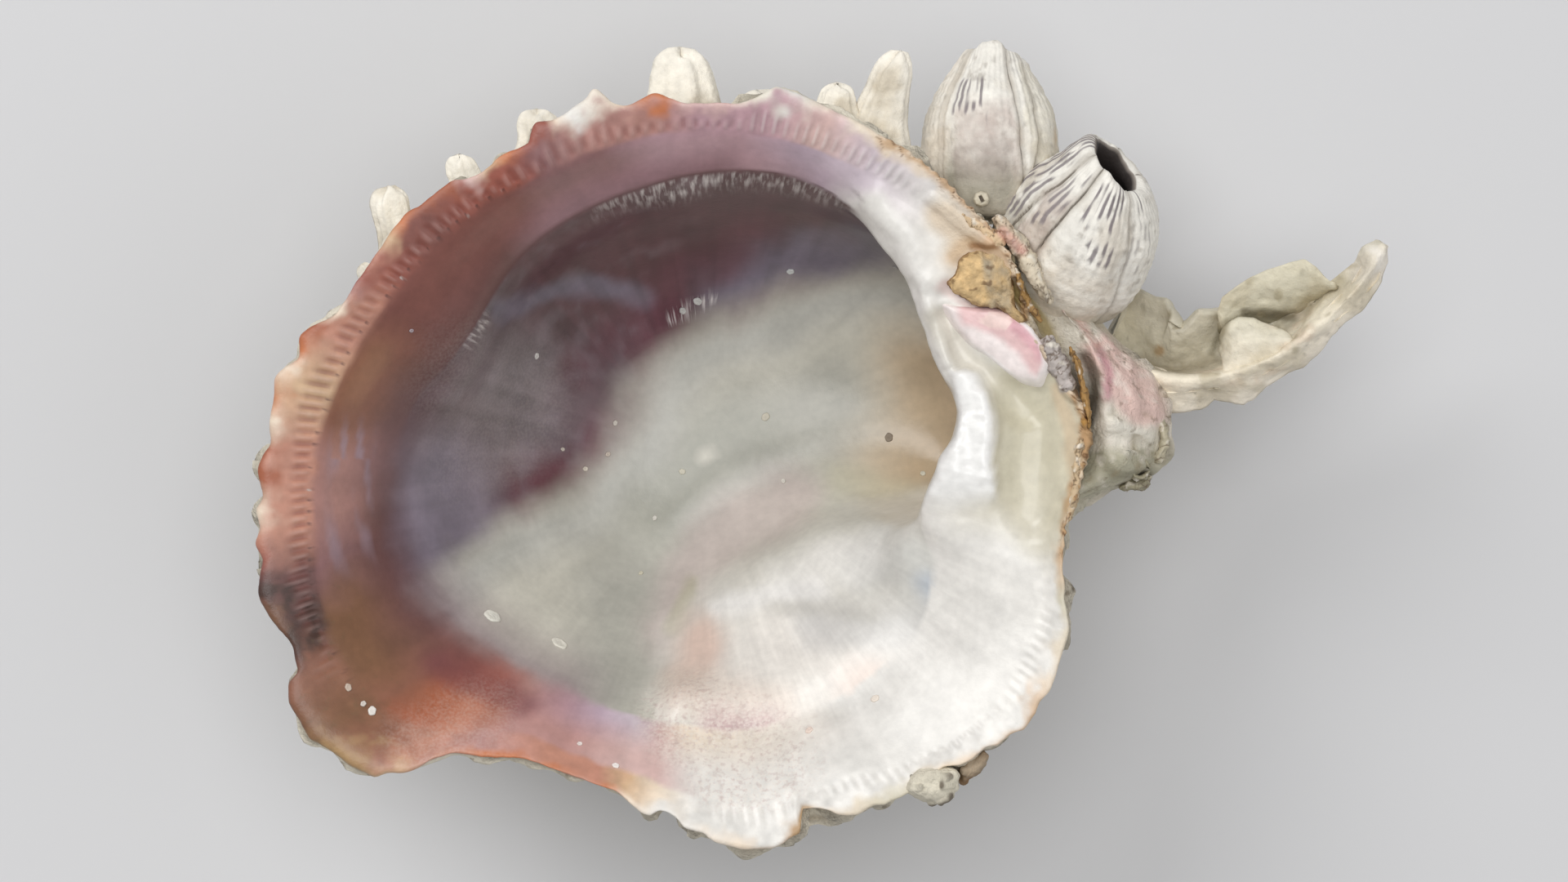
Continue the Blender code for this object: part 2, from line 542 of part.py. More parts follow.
def grown(obj, name, by):
    """A hidden copy of the object's mesh, its skin moved out by this much, to trim a neighbour with."""
    graph = bpy.context.evaluated_depsgraph_get()
    mesh = bpy.data.meshes.new_from_object(obj.evaluated_get(graph))
    mesh.name = name
    copy = bpy.data.objects.new(name, mesh)
    bpy.context.scene.collection.objects.link(copy)
    normals = [v.normal.copy() for v in mesh.vertices]
    for vertex, normal in zip(mesh.vertices, normals):
        vertex.co += normal * by * MM
    return as_tool(copy)


def main():
    for obj in list(bpy.data.objects):
        bpy.data.objects.remove(obj)
    shell = surface_finish("shell", (0.72, 0.62, 0.56), 0.35)
    barnacle = surface_finish("barnacle", (0.74, 0.72, 0.68), 0.8)
    ligament = surface_finish("dry_ligament", (0.52, 0.36, 0.17), 0.75)
    crust = surface_finish("crust", (0.70, 0.67, 0.58), 0.85)

    angles = np.arange(ANGLE_STEPS) * 360.0 / ANGLE_STEPS
    rings = valve_points(angles, RING_STEPS)
    valve = closed_tube("valve", rings, (0, 0, 0), (0, 0, CUP_CENTRE), shell)
    boolean(valve, as_tool(joined("spines", make_spines())), "UNION")
    boolean(valve, as_tool(make_frond()), "UNION")
    valve_room = grown(valve, "valve_room", GAP)

    opened = make_barnacle("barnacle_open", *OPEN_BARNACLE, barnacle)
    boolean(opened, valve_room, "DIFFERENCE")
    open_room = grown(opened, "barnacle_open_room", GAP)
    tall = make_barnacle("barnacle_tall", *TALL_BARNACLE, barnacle)
    boolean(tall, valve_room, "DIFFERENCE")
    boolean(tall, open_room, "DIFFERENCE")
    tall_room = grown(tall, "barnacle_tall_room", GAP)
    spat = lump("barnacle_spat", *SPAT, barnacle)
    boolean(spat, tall_room, "DIFFERENCE")
    boolean(spat, valve_room, "DIFFERENCE")

    flake = lump("ligament", *LIGAMENT_FLAKE, ligament)
    boolean(flake, valve_room, "DIFFERENCE")
    edge_crust = lump("edge_crust", *EDGE_CRUST, crust)
    boolean(edge_crust, valve_room, "DIFFERENCE")


main()
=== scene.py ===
import itertools
import math

import bpy
import numpy as np
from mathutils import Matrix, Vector


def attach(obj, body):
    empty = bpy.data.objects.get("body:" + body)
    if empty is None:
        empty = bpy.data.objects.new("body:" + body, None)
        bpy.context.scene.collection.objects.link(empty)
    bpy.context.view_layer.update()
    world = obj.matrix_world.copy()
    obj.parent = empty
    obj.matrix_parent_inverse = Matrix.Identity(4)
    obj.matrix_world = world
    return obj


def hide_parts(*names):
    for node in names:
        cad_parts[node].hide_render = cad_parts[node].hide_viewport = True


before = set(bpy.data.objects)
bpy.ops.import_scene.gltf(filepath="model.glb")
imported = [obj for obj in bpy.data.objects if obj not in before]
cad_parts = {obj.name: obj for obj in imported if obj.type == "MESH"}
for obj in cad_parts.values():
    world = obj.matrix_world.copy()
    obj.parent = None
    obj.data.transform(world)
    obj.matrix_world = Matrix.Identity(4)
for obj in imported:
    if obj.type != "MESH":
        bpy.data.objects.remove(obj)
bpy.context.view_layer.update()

# The valve's bowl.
# One thick cemented shell valve of calcite, lying on its flat attachment scar, porcelain-like inside, chalky
# outside. Its skin is one closed surface through real lines on the shell: from the scar up the outside, over
# the toothed margin and down into the cup. Angles are in degrees from +X, sizes in millimetres.

MM = 0.001
MARGIN = [
    (0, 49.2), (3, 49.8), (5, 49.6), (8, 49.2), (10, 48.4), (13, 47.8), (15, 46.9), (18, 46.0),
    (20, 45.5), (25, 45.8), (30, 46.9), (37, 47.5), (42, 47.2), (45, 47.0), (50, 47.3), (55, 47.3),
    (60, 47.3), (65, 47.5), (70, 47.7), (73, 48.0), (78.4, 48.5), (80, 47.7), (82, 46.5), (85, 45.6),
    (88, 45.5), (92, 45.4), (95, 46.2), (97.5, 47.2), (100, 46.5), (102, 46.2), (104, 46.8),
    (106.4, 49.3), (108, 48.4), (110, 48.0), (112, 47.5), (114, 47.4), (116.4, 48.0), (118, 47.0),
    (119, 46.1), (121, 46.2), (124, 46.5), (126, 46.2), (130, 46.7), (132, 47.8), (135, 48.2),
    (138, 48.5), (141, 49.3), (147, 49.3), (153, 49.8), (158, 50.3), (160, 51.4), (162, 53.3),
    (163.5, 53.9), (166, 53.4), (168, 54.9), (169.8, 55.8), (172, 55.5), (175, 55.7), (178, 55.5),
    (180, 56.5), (181.5, 57.1), (185, 56.7), (187, 57.7), (189, 57.6), (191, 58.5), (193, 58.1),
    (195, 58.8), (197.5, 59.7), (200, 59.4), (202, 58.7), (204.5, 58.0), (206.5, 58.5), (207.8, 58.8),
    (208.6, 60.5), (209.5, 61.2), (211, 61.9), (213, 61.9), (215.5, 62.1), (217, 61.4), (219, 60.7),
    (221, 60.3), (223, 59.5), (224.3, 58.9), (225, 57.5), (226.5, 56.0), (227.5, 54.2), (228.3, 51.9),
    (230, 49.8), (232, 48.7), (235, 47.2), (238, 45.6), (240, 45.0), (243, 44.6), (250, 44.3),
    (255, 44.4), (257, 45.0), (259, 45.9), (261.5, 46.7), (263.2, 45.8), (265.5, 46.3), (267.5, 47.8),
    (270, 48.3), (272, 49.6), (274, 50.2), (276, 50.7), (280, 51.0), (281.5, 50.8), (283, 50.2),
    (284.5, 49.9), (285.3, 48.4), (286, 47.0), (287.5, 47.2), (289.5, 48.0), (291, 49.1), (292.5, 49.8),
    (294, 50.1), (296, 49.8), (298, 50.4), (302, 50.6), (305, 50.2), (308, 50.4), (310, 51.5),
    (312, 52.0), (314, 52.0), (316, 53.0), (318, 53.2), (320, 54.1), (322, 54.0), (324, 53.5),
    (326, 53.8), (328, 53.4), (330, 53.0), (332, 52.6), (335, 52.0), (337, 50.9), (339, 49.9),
    (341, 49.2), (343, 48.5), (345, 48.0), (349, 47.6), (351, 47.8), (355, 48.4),
]
MARGIN_HEIGHT = [
    (0, 47.4), (22, 46.4), (45, 48.6), (70, 49.6), (95, 50.0), (135, 50.0), (175, 49.2), (205, 48.0),
    (220, 47.2), (232, 46.2), (250, 45.8), (268, 47.4), (290, 48.4), (320, 49.0), (345, 48.0),
]
SCAR_EDGE = [
    (0, 27.0), (50, 22.5), (95, 20.0), (140, 23.0), (180, 26.5), (225, 24.5), (270, 20.5), (320, 24.5),
]
SCAR_STEP = (4.6, 2.2)  # the rounded foot: out and up from the scar's edge
BELLY_LOW = [
    (0, 46.0, 11.0), (30, 41.0, 12.0), (60, 32.5, 12.5), (95, 29.6, 12.5), (135, 32.0, 12.5),
    (180, 36.0, 12.5), (215, 37.0, 12.5), (248, 30.0, 13.5), (280, 31.0, 14.5), (315, 34.5, 15.0),
    (342, 39.0, 13.0),
]
BELLY_HIGH = [
    (1, 55.6, 24.0), (10, 56.0, 25.0), (20, 52.0, 26.0), (40, 44.5, 28.0), (60, 41.6, 29.0),
    (95, 38.8, 29.0), (135, 41.4, 29.0), (180, 46.6, 29.0), (215, 49.4, 28.5), (248, 38.8, 29.0),
    (280, 41.4, 30.0), (315, 44.4, 30.0), (338, 46.0, 28.0), (350, 46.8, 26.0), (355, 50.0, 25.0),
]
UMBO_EDGE = [
    (340, 48.4), (350, 48.2), (354, 49.6), (356, 53.5), (358, 58.4), (1, 60.6), (6, 60.6), (10, 59.4),
    (14, 56.4), (18, 54.4), (23, 51.6), (29, 48.6), (45, 46.6), (62, 46.0), (95, 44.2), (135, 47.2),
    (158, 48.6), (180, 53.4), (198, 56.0), (214, 58.2), (228, 49.0), (248, 42.6), (262, 44.4),
    (280, 48.6), (300, 48.8), (322, 51.2),
]
UMBO_EDGE_HEIGHT = [
    (0, 35.0), (14, 37.0), (30, 39.5), (60, 41.5), (130, 42.0), (215, 40.0), (280, 41.0), (330, 41.0),
    (350, 38.0),
]
BEAK_RIDGE = [
    (352, 47.7, 44.6), (356, 49.8, 43.6), (2, 51.6, 43.4), (8, 52.3, 43.8), (14, 51.8, 43.6),
    (20, 50.3, 43.2), (27, 48.5, 43.6), (36, 47.6, 45.0),
]
BEAK_GROOVE = [
    (352, 47.6, 46.4), (358, 48.9, 41.8), (5, 49.9, 40.4), (12, 49.1, 40.6), (20, 47.2, 41.8),
    (27, 46.8, 43.6), (36, 47.5, 46.8),
]
BEAK_SPAN = (350.0, 38.0)  # the angles between which the ligament groove parts the beak from the margin
BEAK_FADE = 7.0
PLAIN_EDGE = ((0.7, 3.2), (0.25, 1.4))  # elsewhere: how far in from the margin and below it those lines run
CRENULE_FOOT = [
    (0, 46.5), (12, 45.2), (22, 43.4), (32, 43.9), (42, 44.4), (52, 43.2), (62, 42.5), (90, 42.3),
    (118, 42.0), (130, 43.3), (140, 44.1), (150, 45.2), (160, 46.9), (170, 48.6), (180, 50.3),
    (190, 51.4), (200, 53.2), (212, 54.0), (220, 52.6), (226, 50.0), (231, 45.6), (240, 42.4),
    (255, 42.0), (265, 43.3), (280, 45.6), (292, 45.2), (305, 47.6), (320, 49.0), (332, 48.4),
    (342, 46.0), (351, 45.2),
]
CRENULE_DROP = 1.5
PALLIAL_SAG = (0.5, 0.58, 0.9)
INNER_EDGE = [
    (0, 30.8, 43.6), (5, 32.5, 43.8), (12, 33.4, 43.6), (22, 32.6, 43.0), (32, 33.3, 43.0),
    (42, 35.0, 43.4), (50, 35.9, 43.6), (60, 37.8, 43.2), (70, 38.2, 42.6), (80, 37.6, 42.0),
    (92, 36.6, 41.4), (105, 35.6, 40.8), (130, 35.2, 40.2), (150, 34.2, 39.6), (158, 35.0, 39.0),
    (168, 38.0, 38.2), (180, 40.3, 37.4), (196, 42.0, 36.8), (210, 39.8, 37.0), (225, 37.3, 37.0),
    (245, 35.2, 37.2), (256, 34.8, 37.6), (264, 35.0, 39.2), (280, 36.0, 39.6), (300, 36.0, 40.0),
    (320, 36.0, 40.4), (335, 33.0, 41.2), (346, 28.8, 42.2), (354, 29.8, 43.2),
]
UNDER_EDGE = [
    (0, 31.6, 39.4), (12, 34.3, 39.0), (25, 33.9, 38.6), (40, 36.0, 39.0), (55, 36.8, 38.8),
    (70, 36.4, 37.6), (95, 34.4, 36.6), (130, 33.4, 35.8), (155, 32.8, 36.2), (180, 37.4, 34.6),
    (196, 39.0, 34.2), (220, 35.4, 34.2), (245, 33.0, 34.4), (257, 32.8, 34.8), (265, 31.6, 37.6),
    (290, 32.0, 37.8), (320, 32.0, 38.4), (337, 28.6, 39.6), (350, 29.2, 39.6),
]
CUP_WALL = [
    (0, 38.6, 26.0), (15, 41.6, 26.0), (35, 40.0, 27.0), (52, 36.4, 28.0), (70, 33.6, 28.0),
    (95, 31.0, 27.0), (130, 30.6, 26.6), (155, 29.6, 27.6), (180, 32.6, 28.4), (198, 33.6, 28.4),
    (225, 30.4, 28.6), (245, 28.6, 28.2), (256, 28.4, 28.0), (266, 27.4, 30.0), (280, 26.0, 31.0),
    (300, 25.0, 31.4), (320, 24.0, 32.0), (338, 25.4, 32.6), (350, 33.0, 28.0),
]
CUP_FOOT = [
    (0, 34.0, 14.5), (20, 34.0, 14.5), (45, 31.0, 15.4), (70, 26.4, 15.8), (95, 24.0, 15.4),
    (130, 23.4, 15.4), (155, 23.0, 16.6), (180, 24.4, 18.0), (210, 24.0, 18.4), (235, 22.0, 18.2),
    (250, 20.8, 18.6), (260, 20.4, 20.4), (270, 19.4, 22.4), (285, 17.4, 23.6), (305, 16.6, 24.0),
    (325, 17.4, 24.0), (340, 21.6, 22.6), (351, 29.0, 17.0),
]
CUP_FLOOR = [
    (0, 17.0, 9.8), (45, 16.6, 9.6), (90, 13.0, 9.8), (135, 12.6, 10.0), (180, 13.0, 10.4),
    (225, 12.4, 10.6), (255, 11.0, 10.8), (285, 9.8, 11.0), (315, 9.8, 10.8), (340, 12.0, 10.2),
]
CUP_CENTRE = 9.7
ROWS_OUTSIDE = (2, 9, 11, 11, 16)  # rows from each line to the next
ROWS_MARGIN = (5, 5, 18, 12, 10)
ROWS_CUP = (6, 14, 14, 12, 7)
FINE_AROUND = 1440
FINEST_LINES = (7.0, 8.2)  # between these lines, at the teeth of the margin, every point round is kept
FINE_LINES = (4.0, 11.0)  # and between these every second one
CELL_STRIDES = (374761393, 668265263, 1442695041)  # large odd numbers that scatter the values of the noise
MIX_STEPS = ((13, 1274126177), (16, 2246822519))
LOW_BITS = 0xFFFFFFFF


def round_curve(stations, column=1):
    """A smooth closed curve through (angle, value...) stations, as a function of the angle in degrees."""
    rows = sorted(stations)
    angle = np.array([row[0] for row in rows], float)
    value = np.array([row[column] for row in rows], float)
    x = np.concatenate([angle[-2:] - 360, angle, angle[:2] + 360])
    y = np.concatenate([value[-2:], value, value[:2]])
    run = np.diff(x)
    slope = np.diff(y) / run
    tangent = np.zeros_like(y)
    same_way = slope[:-1] * slope[1:] > 0
    safe = np.where(same_way, slope[:-1] + slope[1:], 1.0)
    tangent[1:-1] = np.where(same_way, 2 * slope[:-1] * slope[1:] / safe, 0.0)

    def at(degrees):
        a = np.mod(np.asarray(degrees, float) - angle[0], 360) + angle[0]
        i = np.clip(np.searchsorted(x, a, side="right") - 1, 1, len(x) - 3)
        t = (a - x[i]) / run[i]
        rise = (3 - 2 * t) * t * t
        bulge = run[i] * t * (1 - t) * ((1 - t) * tangent[i] - t * tangent[i + 1])
        return y[i] * (1 - rise) + y[i + 1] * rise + bulge

    return at


def smooth(value, start, end):
    """0 up to start, 1 from end on, and a smooth rise between; start may be the larger."""
    t = np.clip((value - start) / (end - start), 0, 1)
    return t * t * (3 - 2 * t)


def between(angles, span, fade):
    """1 between the two angles of the span, falling smoothly to 0 over fade degrees inside each end."""
    half = np.mod(span[1] - span[0], 360) / 2
    away = np.abs(np.mod(angles - span[0] - half + 180, 360) - 180)
    return smooth(half - away, 0, fade)


def noise(points, size, seed=0):
    """Smooth random values from -1 to 1 that change over about this size."""
    p = np.asarray(points) / size + 31.7 * seed + 400
    cell = np.floor(p).astype(np.int64)
    t = p - cell
    t = t * t * (3 - 2 * t)
    total = np.zeros(p.shape[:-1])
    for corner in itertools.product((0, 1), repeat=3):
        c = cell + np.array(corner)
        mixed = sum(c[..., k] * stride for k, stride in enumerate(CELL_STRIDES)) & LOW_BITS
        for shift, stride in MIX_STEPS:
            mixed = ((mixed ^ (mixed >> shift)) * stride) & LOW_BITS
        weight = np.prod(np.where(np.array(corner) == 1, t, 1 - t), axis=-1)
        total += weight * ((mixed & 0xFFFF) / 32767.5 - 1)
    return total


def rough(points, size, seed=0, octaves=4):
    """Noise with ever finer detail added."""
    return sum(noise(points, size / 2**k, seed + k) / 2**k for k in range(octaves))


def along_two(stations, angles):
    """The radius and the height of a line given as (angle, radius, height) stations."""
    return round_curve(stations, 1)(angles), round_curve(stations, 2)(angles)


def valve_lines(angles):
    """The radius and height of every named line of the bowl at these angles, from the scar to the floor."""
    margin, margin_z = round_curve(MARGIN)(angles), round_curve(MARGIN_HEIGHT)(angles)
    scar = round_curve(SCAR_EDGE)(angles)
    beak = between(angles, BEAK_SPAN, BEAK_FADE)
    lines = [(scar, 0 * scar), (scar + SCAR_STEP[0], 0 * scar + SCAR_STEP[1])]
    lines += [along_two(stations, angles) for stations in (BELLY_LOW, BELLY_HIGH)]
    lines.append((round_curve(UMBO_EDGE)(angles), round_curve(UMBO_EDGE_HEIGHT)(angles)))
    for stations, (inset, drop) in zip((BEAK_RIDGE, BEAK_GROOVE), PLAIN_EDGE):
        radius, height = along_two(stations, angles)
        radius = beak * radius + (1 - beak) * (margin - inset)
        height = beak * height + (1 - beak) * (margin_z - drop)
        lines.append((radius, height))
    lines.append((margin, margin_z))
    foot = round_curve(CRENULE_FOOT)(angles)
    foot_z = margin_z - CRENULE_DROP
    edge_r, edge_z = along_two(INNER_EDGE, angles)
    in_share, down_share, bulge = PALLIAL_SAG
    lines.append((foot, foot_z))
    sag_z = (1 - down_share) * foot_z + down_share * edge_z + bulge
    lines.append((foot + in_share * (edge_r - foot), sag_z))
    lines.append((edge_r, edge_z))
    lines += [along_two(stations, angles) for stations in (UNDER_EDGE, CUP_WALL, CUP_FOOT, CUP_FLOOR)]
    lines.append((0 * margin, 0 * margin + CUP_CENTRE))
    return np.array(lines)


def rows_through(lines, steps):
    """Rows along a smooth curve through the named lines, steps[k] rows from line k to line k + 1."""
    chord = np.maximum(np.linalg.norm(np.diff(lines, axis=0), axis=1), 1e-6)[:, None, :]
    direction = np.diff(lines, axis=0) / chord
    tangent = np.empty_like(lines)
    tangent[0], tangent[-1] = direction[0], direction[-1]
    tangent[1:-1] = (direction[:-1] * chord[1:] + direction[1:] * chord[:-1]) / (chord[:-1] + chord[1:])
    rows = []
    for k, count in enumerate(steps):
        for t in np.arange(count) / count:
            rise = (3 - 2 * t) * t * t
            bulge = chord[k] * t * (1 - t) * ((1 - t) * tangent[k] - t * tangent[k + 1])
            rows.append(lines[k] * (1 - rise) + lines[k + 1] * rise + bulge)
    return np.array(rows)


def line_numbers(steps):
    """For each row the number of its line, with the share of the way to the next one."""
    return np.concatenate([k + np.arange(count) / count for k, count in enumerate(steps)])[:, None]


def unit(vectors):
    """The same directions with length 1."""
    return vectors / np.maximum(np.linalg.norm(vectors, axis=-1, keepdims=True), 1e-9)


def to_piece(x, y, a, b):
    """The distance in plan from each point to the straight piece from a to b."""
    d = b - a
    t = np.clip(((x - a[0]) * d[0] + (y - a[1]) * d[1]) / (d @ d), 0, 1)
    return np.hypot(x - a[0] - t * d[0], y - a[1] - t * d[1])


def distance_to(path, x, y):
    """The distance in plan from each point to a path of straight pieces."""
    return np.min([to_piece(x, y, a, b) for a, b in itertools.pairwise(path)], axis=0)


def side_of(x, y, path):
    """The distance from a path of straight pieces, above zero on its left."""
    nearest = np.full(np.shape(x), np.inf)
    side = np.ones(np.shape(x))
    for a, b in itertools.pairwise(np.array(path, float)):
        away = to_piece(x, y, a, b)
        on_left = (b[0] - a[0]) * (y - a[1]) - (b[1] - a[1]) * (x - a[0]) > 0
        side = np.where(away < nearest, np.where(on_left, 1.0, -1.0), side)
        nearest = np.minimum(nearest, away)
    return side * nearest


def area(x, y, outline, soft):
    """1 inside a closed outline and 0 outside it, with a rise this wide across its edge."""
    closed = np.array(list(outline) + [outline[0]], float)
    inside = np.zeros(np.shape(x), bool)
    for (x0, y0), (x1, y1) in itertools.pairwise(closed):
        if y0 != y1:
            inside ^= ((y0 > y) != (y1 > y)) & (x < (x1 - x0) * (y - y0) / (y1 - y0) + x0)
    away = distance_to(closed, x, y) * np.where(inside, 1, -1)
    return smooth(away, -soft / 2, soft / 2)


def ring_normals(points):
    """Outward normals of a grid of closed rings."""
    around = np.roll(points, -1, axis=1) - np.roll(points, 1, axis=1)
    along = np.gradient(points, axis=0)
    return unit(np.cross(around, along))


# Ridges (+) and hollows (-) of the hinge plate and the beak: (x, y) points along it, its height, and its
# flat half-width with the width of its slope on the left of that way. A second such pair is for the right.
HINGE_FORMS = [
    ([(21.4, 32.4), (25.6, 28.2), (28.4, 23.0)], 1.4, (0.4, 3.6), (0.2, 1.9)),  # upper lip
    ([(28.6, 21.2), (30.6, 16.0), (31.8, 12.2)], 1.1, (0.2, 1.2)),  # narrow lip
    ([(31.0, 17.4), (34.6, 12.4), (38.6, 8.6), (41.6, 5.6)], -0.9, (0.5, 2.2), (0.5, 2.0)),  # narrow trough
    ([(41.8, 8.0), (42.3, 3.0), (42.2, -3.0), (42.6, -7.0)], -1.3, (1.0, 3.6)),  # wide trough
    ([(40.4, 21.8), (43.4, 18.2), (45.4, 15.2)], -1.7, (0.7, 1.0)),  # olive groove
    ([(43.8, 15.4), (45.4, 11.8), (46.6, 9.0), (48.0, 7.6)], 1.0, (0.3, 0.6)),  # grey frill
    ([(46.8, 13.8), (48.7, 10.1), (49.4, 7.0), (49.5, 4.0)], 1.3, (0.2, 0.5), (0.2, 0.6)),  # amber rim
    ([(29.4, 33.2), (33.0, 30.2), (36.6, 27.4)], 0.7, (0.3, 0.9)),  # frill above the ligament
    ([(33.4, 4.5), (32.6, 1.0), (32.9, -3.0)], 0.4, (0.2, 0.7), (0.2, 0.9)),  # folds along the white tooth
    ([(35.9, 8.4), (36.6, 4.0), (36.5, -1.0)], 0.35, (0.2, 0.6)),
    ([(34.6, 3.4), (34.5, -1.6)], -0.3, (0.1, 0.5)),
]
PINK_TOOTH = [
    (30.6, 20.0), (32.6, 19.6), (34.8, 19.4), (37.2, 19.6), (39.8, 18.8), (42.3, 17.0), (44.4, 14.4),
    (44.9, 11.4), (43.8, 8.8), (41.2, 9.4), (38.8, 11.2), (36.8, 12.9), (34.4, 14.4), (32.4, 16.6),
    (31.2, 18.4),
]
WHITE_TOOTH = [
    (32.0, 11.0), (33.6, 11.2), (35.2, 10.6), (37.0, 8.3), (37.8, 5.1), (37.9, 2.4), (37.5, -0.6),
    (37.8, -5.3), (36.8, -7.6), (33.0, -7.2), (29.5, -7.8), (27.4, -7.4), (28.4, -5.0), (29.9, -2.2),
    (30.7, 0.5), (32.1, 3.1), (32.7, 5.5), (32.2, 8.0),
]
HINGE_AREAS = [
    # outline, height, width of its edge
    (PINK_TOOTH, 0.3, 1.6),
    (WHITE_TOOTH, 1.7, 1.3),
]
BEAK_FORMS = [
    ([(36.5, 31.0), (40.4, 26.4), (43.2, 23.8), (46.0, 20.4), (50.6, 14.0), (52.0, 6.2)], 0.9, (0.2, 1.0)),
    ([(46.6, 26.0), (51.0, 20.0), (54.6, 13.0), (56.4, 6.0)], 0.8, (0.2, 1.2)),
    ([(49.0, 22.6), (52.6, 16.8), (55.4, 9.8)], -0.7, (0.1, 0.8)),
    ([(52.0, 4.4), (57.6, 3.4)], 0.9, (0.5, 1.4)),
    ([(54.0, -0.2), (55.6, -1.6), (57.2, -1.2), (56.8, 0.6), (55.0, 0.8), (54.0, -0.2)], 1.0, (0.1, 0.8)),
    ([(49.4, 4.0), (48.6, -3.0), (48.8, -8.0)], 0.6, (0.2, 0.9)),
]
CRENULE_PITCH = [
    (48, 1.3), (78, 1.3), (96, 1.8), (128, 1.95), (150, 1.5), (225, 1.5), (262, 1.4), (344, 1.3),
]
CRENULE_HEIGHT = 0.16
STRONG_TEETH = (48, 212)  # spans round the margin, in degrees
WEAK_TEETH = (262, 344)
FRILLY_EDGE = (343, 62)
WORN_LIP = (338, 50)
LEDGE_STEP = 4.6
LEDGE_HEIGHT = 1.3
RIB_COUNT = 52

fine_angles = np.arange(FINE_AROUND) * 360.0 / FINE_AROUND
steps = ROWS_OUTSIDE + ROWS_MARGIN + ROWS_CUP
rows = rows_through(valve_lines(fine_angles), steps)
# Lines: 0 scar, 1 its foot, 2 and 3 belly, 4 to 6 edge, ridge and groove of the beak, 7 margin, 8 foot of
# the teeth, 9 pallial sag, 10 inner edge, 11 under it, 12 to 15 wall, foot, floor and centre of the cup.
line_number = line_numbers(steps)
turn = np.radians(fine_angles)
bowl = np.stack([rows[:, 0] * np.cos(turn), rows[:, 0] * np.sin(turn), rows[:, 1]], axis=-1)

# The middle of the cup is one smooth hollow.
HOLLOW_TERMS = [(i, j) for i in range(5) for j in range(5 - i)]
HOLLOW_SCALE = 20.0
hollow_x, hollow_y = bowl[..., 0] / HOLLOW_SCALE, bowl[..., 1] / HOLLOW_SCALE
hollow_terms = np.stack([hollow_x**i * hollow_y**j for i, j in HOLLOW_TERMS], axis=-1)
near_middle = np.broadcast_to(line_number > 12.7, hollow_x.shape)
fitted = np.linalg.lstsq(hollow_terms[near_middle][::7], bowl[..., 2][near_middle][::7], rcond=None)[0]
blend = smooth(line_number, 12.8, 14.0)
bowl[..., 2] = bowl[..., 2] * (1 - blend) + (hollow_terms @ fitted) * blend
cup_middle = fitted[HOLLOW_TERMS.index((0, 0))]

for forms, areas, first, last in ((HINGE_FORMS, HINGE_AREAS, 6.8, 10.5), (BEAK_FORMS, [], 3.8, 6.5)):
    form_rows = smooth(line_number, first, first + 0.4) * smooth(line_number, last, last - 0.5)
    wavy_x = bowl[..., 0] + 0.35 * noise(bowl, 2.4, 17)
    wavy_y = bowl[..., 1] + 0.35 * noise(bowl, 2.4, 18)
    for path, height, *sides in forms:
        (left_flat, left_slope), (right_flat, right_slope) = sides[0], sides[-1]
        aside = side_of(wavy_x, wavy_y, path)
        share = np.where(
            aside > 0,
            smooth(aside, left_flat + left_slope, left_flat),
            smooth(-aside, right_flat + right_slope, right_flat),
        )
        bowl[..., 2] += form_rows * height * share
    for outline, height, edge in areas:
        raised = form_rows * area(wavy_x, wavy_y, outline, edge) * smooth(wavy_y, -8.0, -2.5)
        folds = 0.5 * (0.5 - np.abs(rough(bowl, 2.6, 19, 3)))
        bowl[..., 2] += raised * (height + folds)

bowl_normals = ring_normals(bowl)
outside = smooth(line_number, 6.6, 6.0)
above_scar = smooth(line_number, 1.0, 2.2)
foot_line = round_curve(CRENULE_FOOT)(fine_angles)
foot_step = foot_line * math.radians(360 / FINE_AROUND)
crenule_phase = np.cumsum(foot_step / round_curve(CRENULE_PITCH)(fine_angles))
crenule_phase = crenule_phase * round(crenule_phase[-1]) / crenule_phase[-1]
uneven = np.stack([foot_line * np.cos(turn), foot_line * np.sin(turn), 0 * turn], -1)
crenule_phase = crenule_phase + 0.45 * noise(uneven, 4.5, 5)
crenule = np.cos(2 * np.pi * crenule_phase)
strong_here = 0.75 + 0.35 * noise(uneven, 3.0, 6)
toothed = between(fine_angles, STRONG_TEETH, 8) + 0.4 * between(fine_angles, WEAK_TEETH, 8)
toothed = toothed * strong_here
tooth_end = 7.72 + 0.12 * noise(uneven, 2.2, 7)
band = smooth(line_number, tooth_end - 0.14, tooth_end + 0.06) * smooth(line_number, 8.06, 7.88)
lift = CRENULE_HEIGHT * toothed * band * crenule

height_wave = bowl[..., 2] + 1.6 * noise(bowl, 16, 2)
ledge = np.mod(height_wave / LEDGE_STEP, 1.0)
rib = np.cos(RIB_COUNT * turn + 1.5 * noise(bowl, 20, 9))
shape_outside = LEDGE_HEIGHT * (ledge**2 - 0.35) + 0.45 * rib * ledge
shape_outside = shape_outside + 1.1 * noise(bowl, 9, 3) + 0.5 * rough(bowl, 3, 4)
on_beak = smooth(line_number, 3.6, 4.4) * smooth(np.abs(bowl[..., 1] - 6), 20, 12) * (bowl[..., 0] > 40)
lift = lift + outside * above_scar * shape_outside * (1 - 0.75 * on_beak)
beak_crust = rough(bowl, 1.7, 14, 5)
lift = lift + outside * on_beak * (0.26 * beak_crust + 0.45 * noise(bowl, 3.4, 15))
frilly = between(fine_angles, FRILLY_EDGE, 8)
on_edge = smooth(line_number, 6.2, 6.8) * smooth(line_number, 7.35, 7.05)
folds = 0.42 * (0.5 - np.abs(rough(bowl, 1.9, 11)))
folds = folds + 0.15 * np.sin(3.4 * fine_angles + 3 * noise(bowl, 3, 12))
lift = lift + on_edge * (0.10 * rough(bowl, 1.7, 11) + frilly * folds)
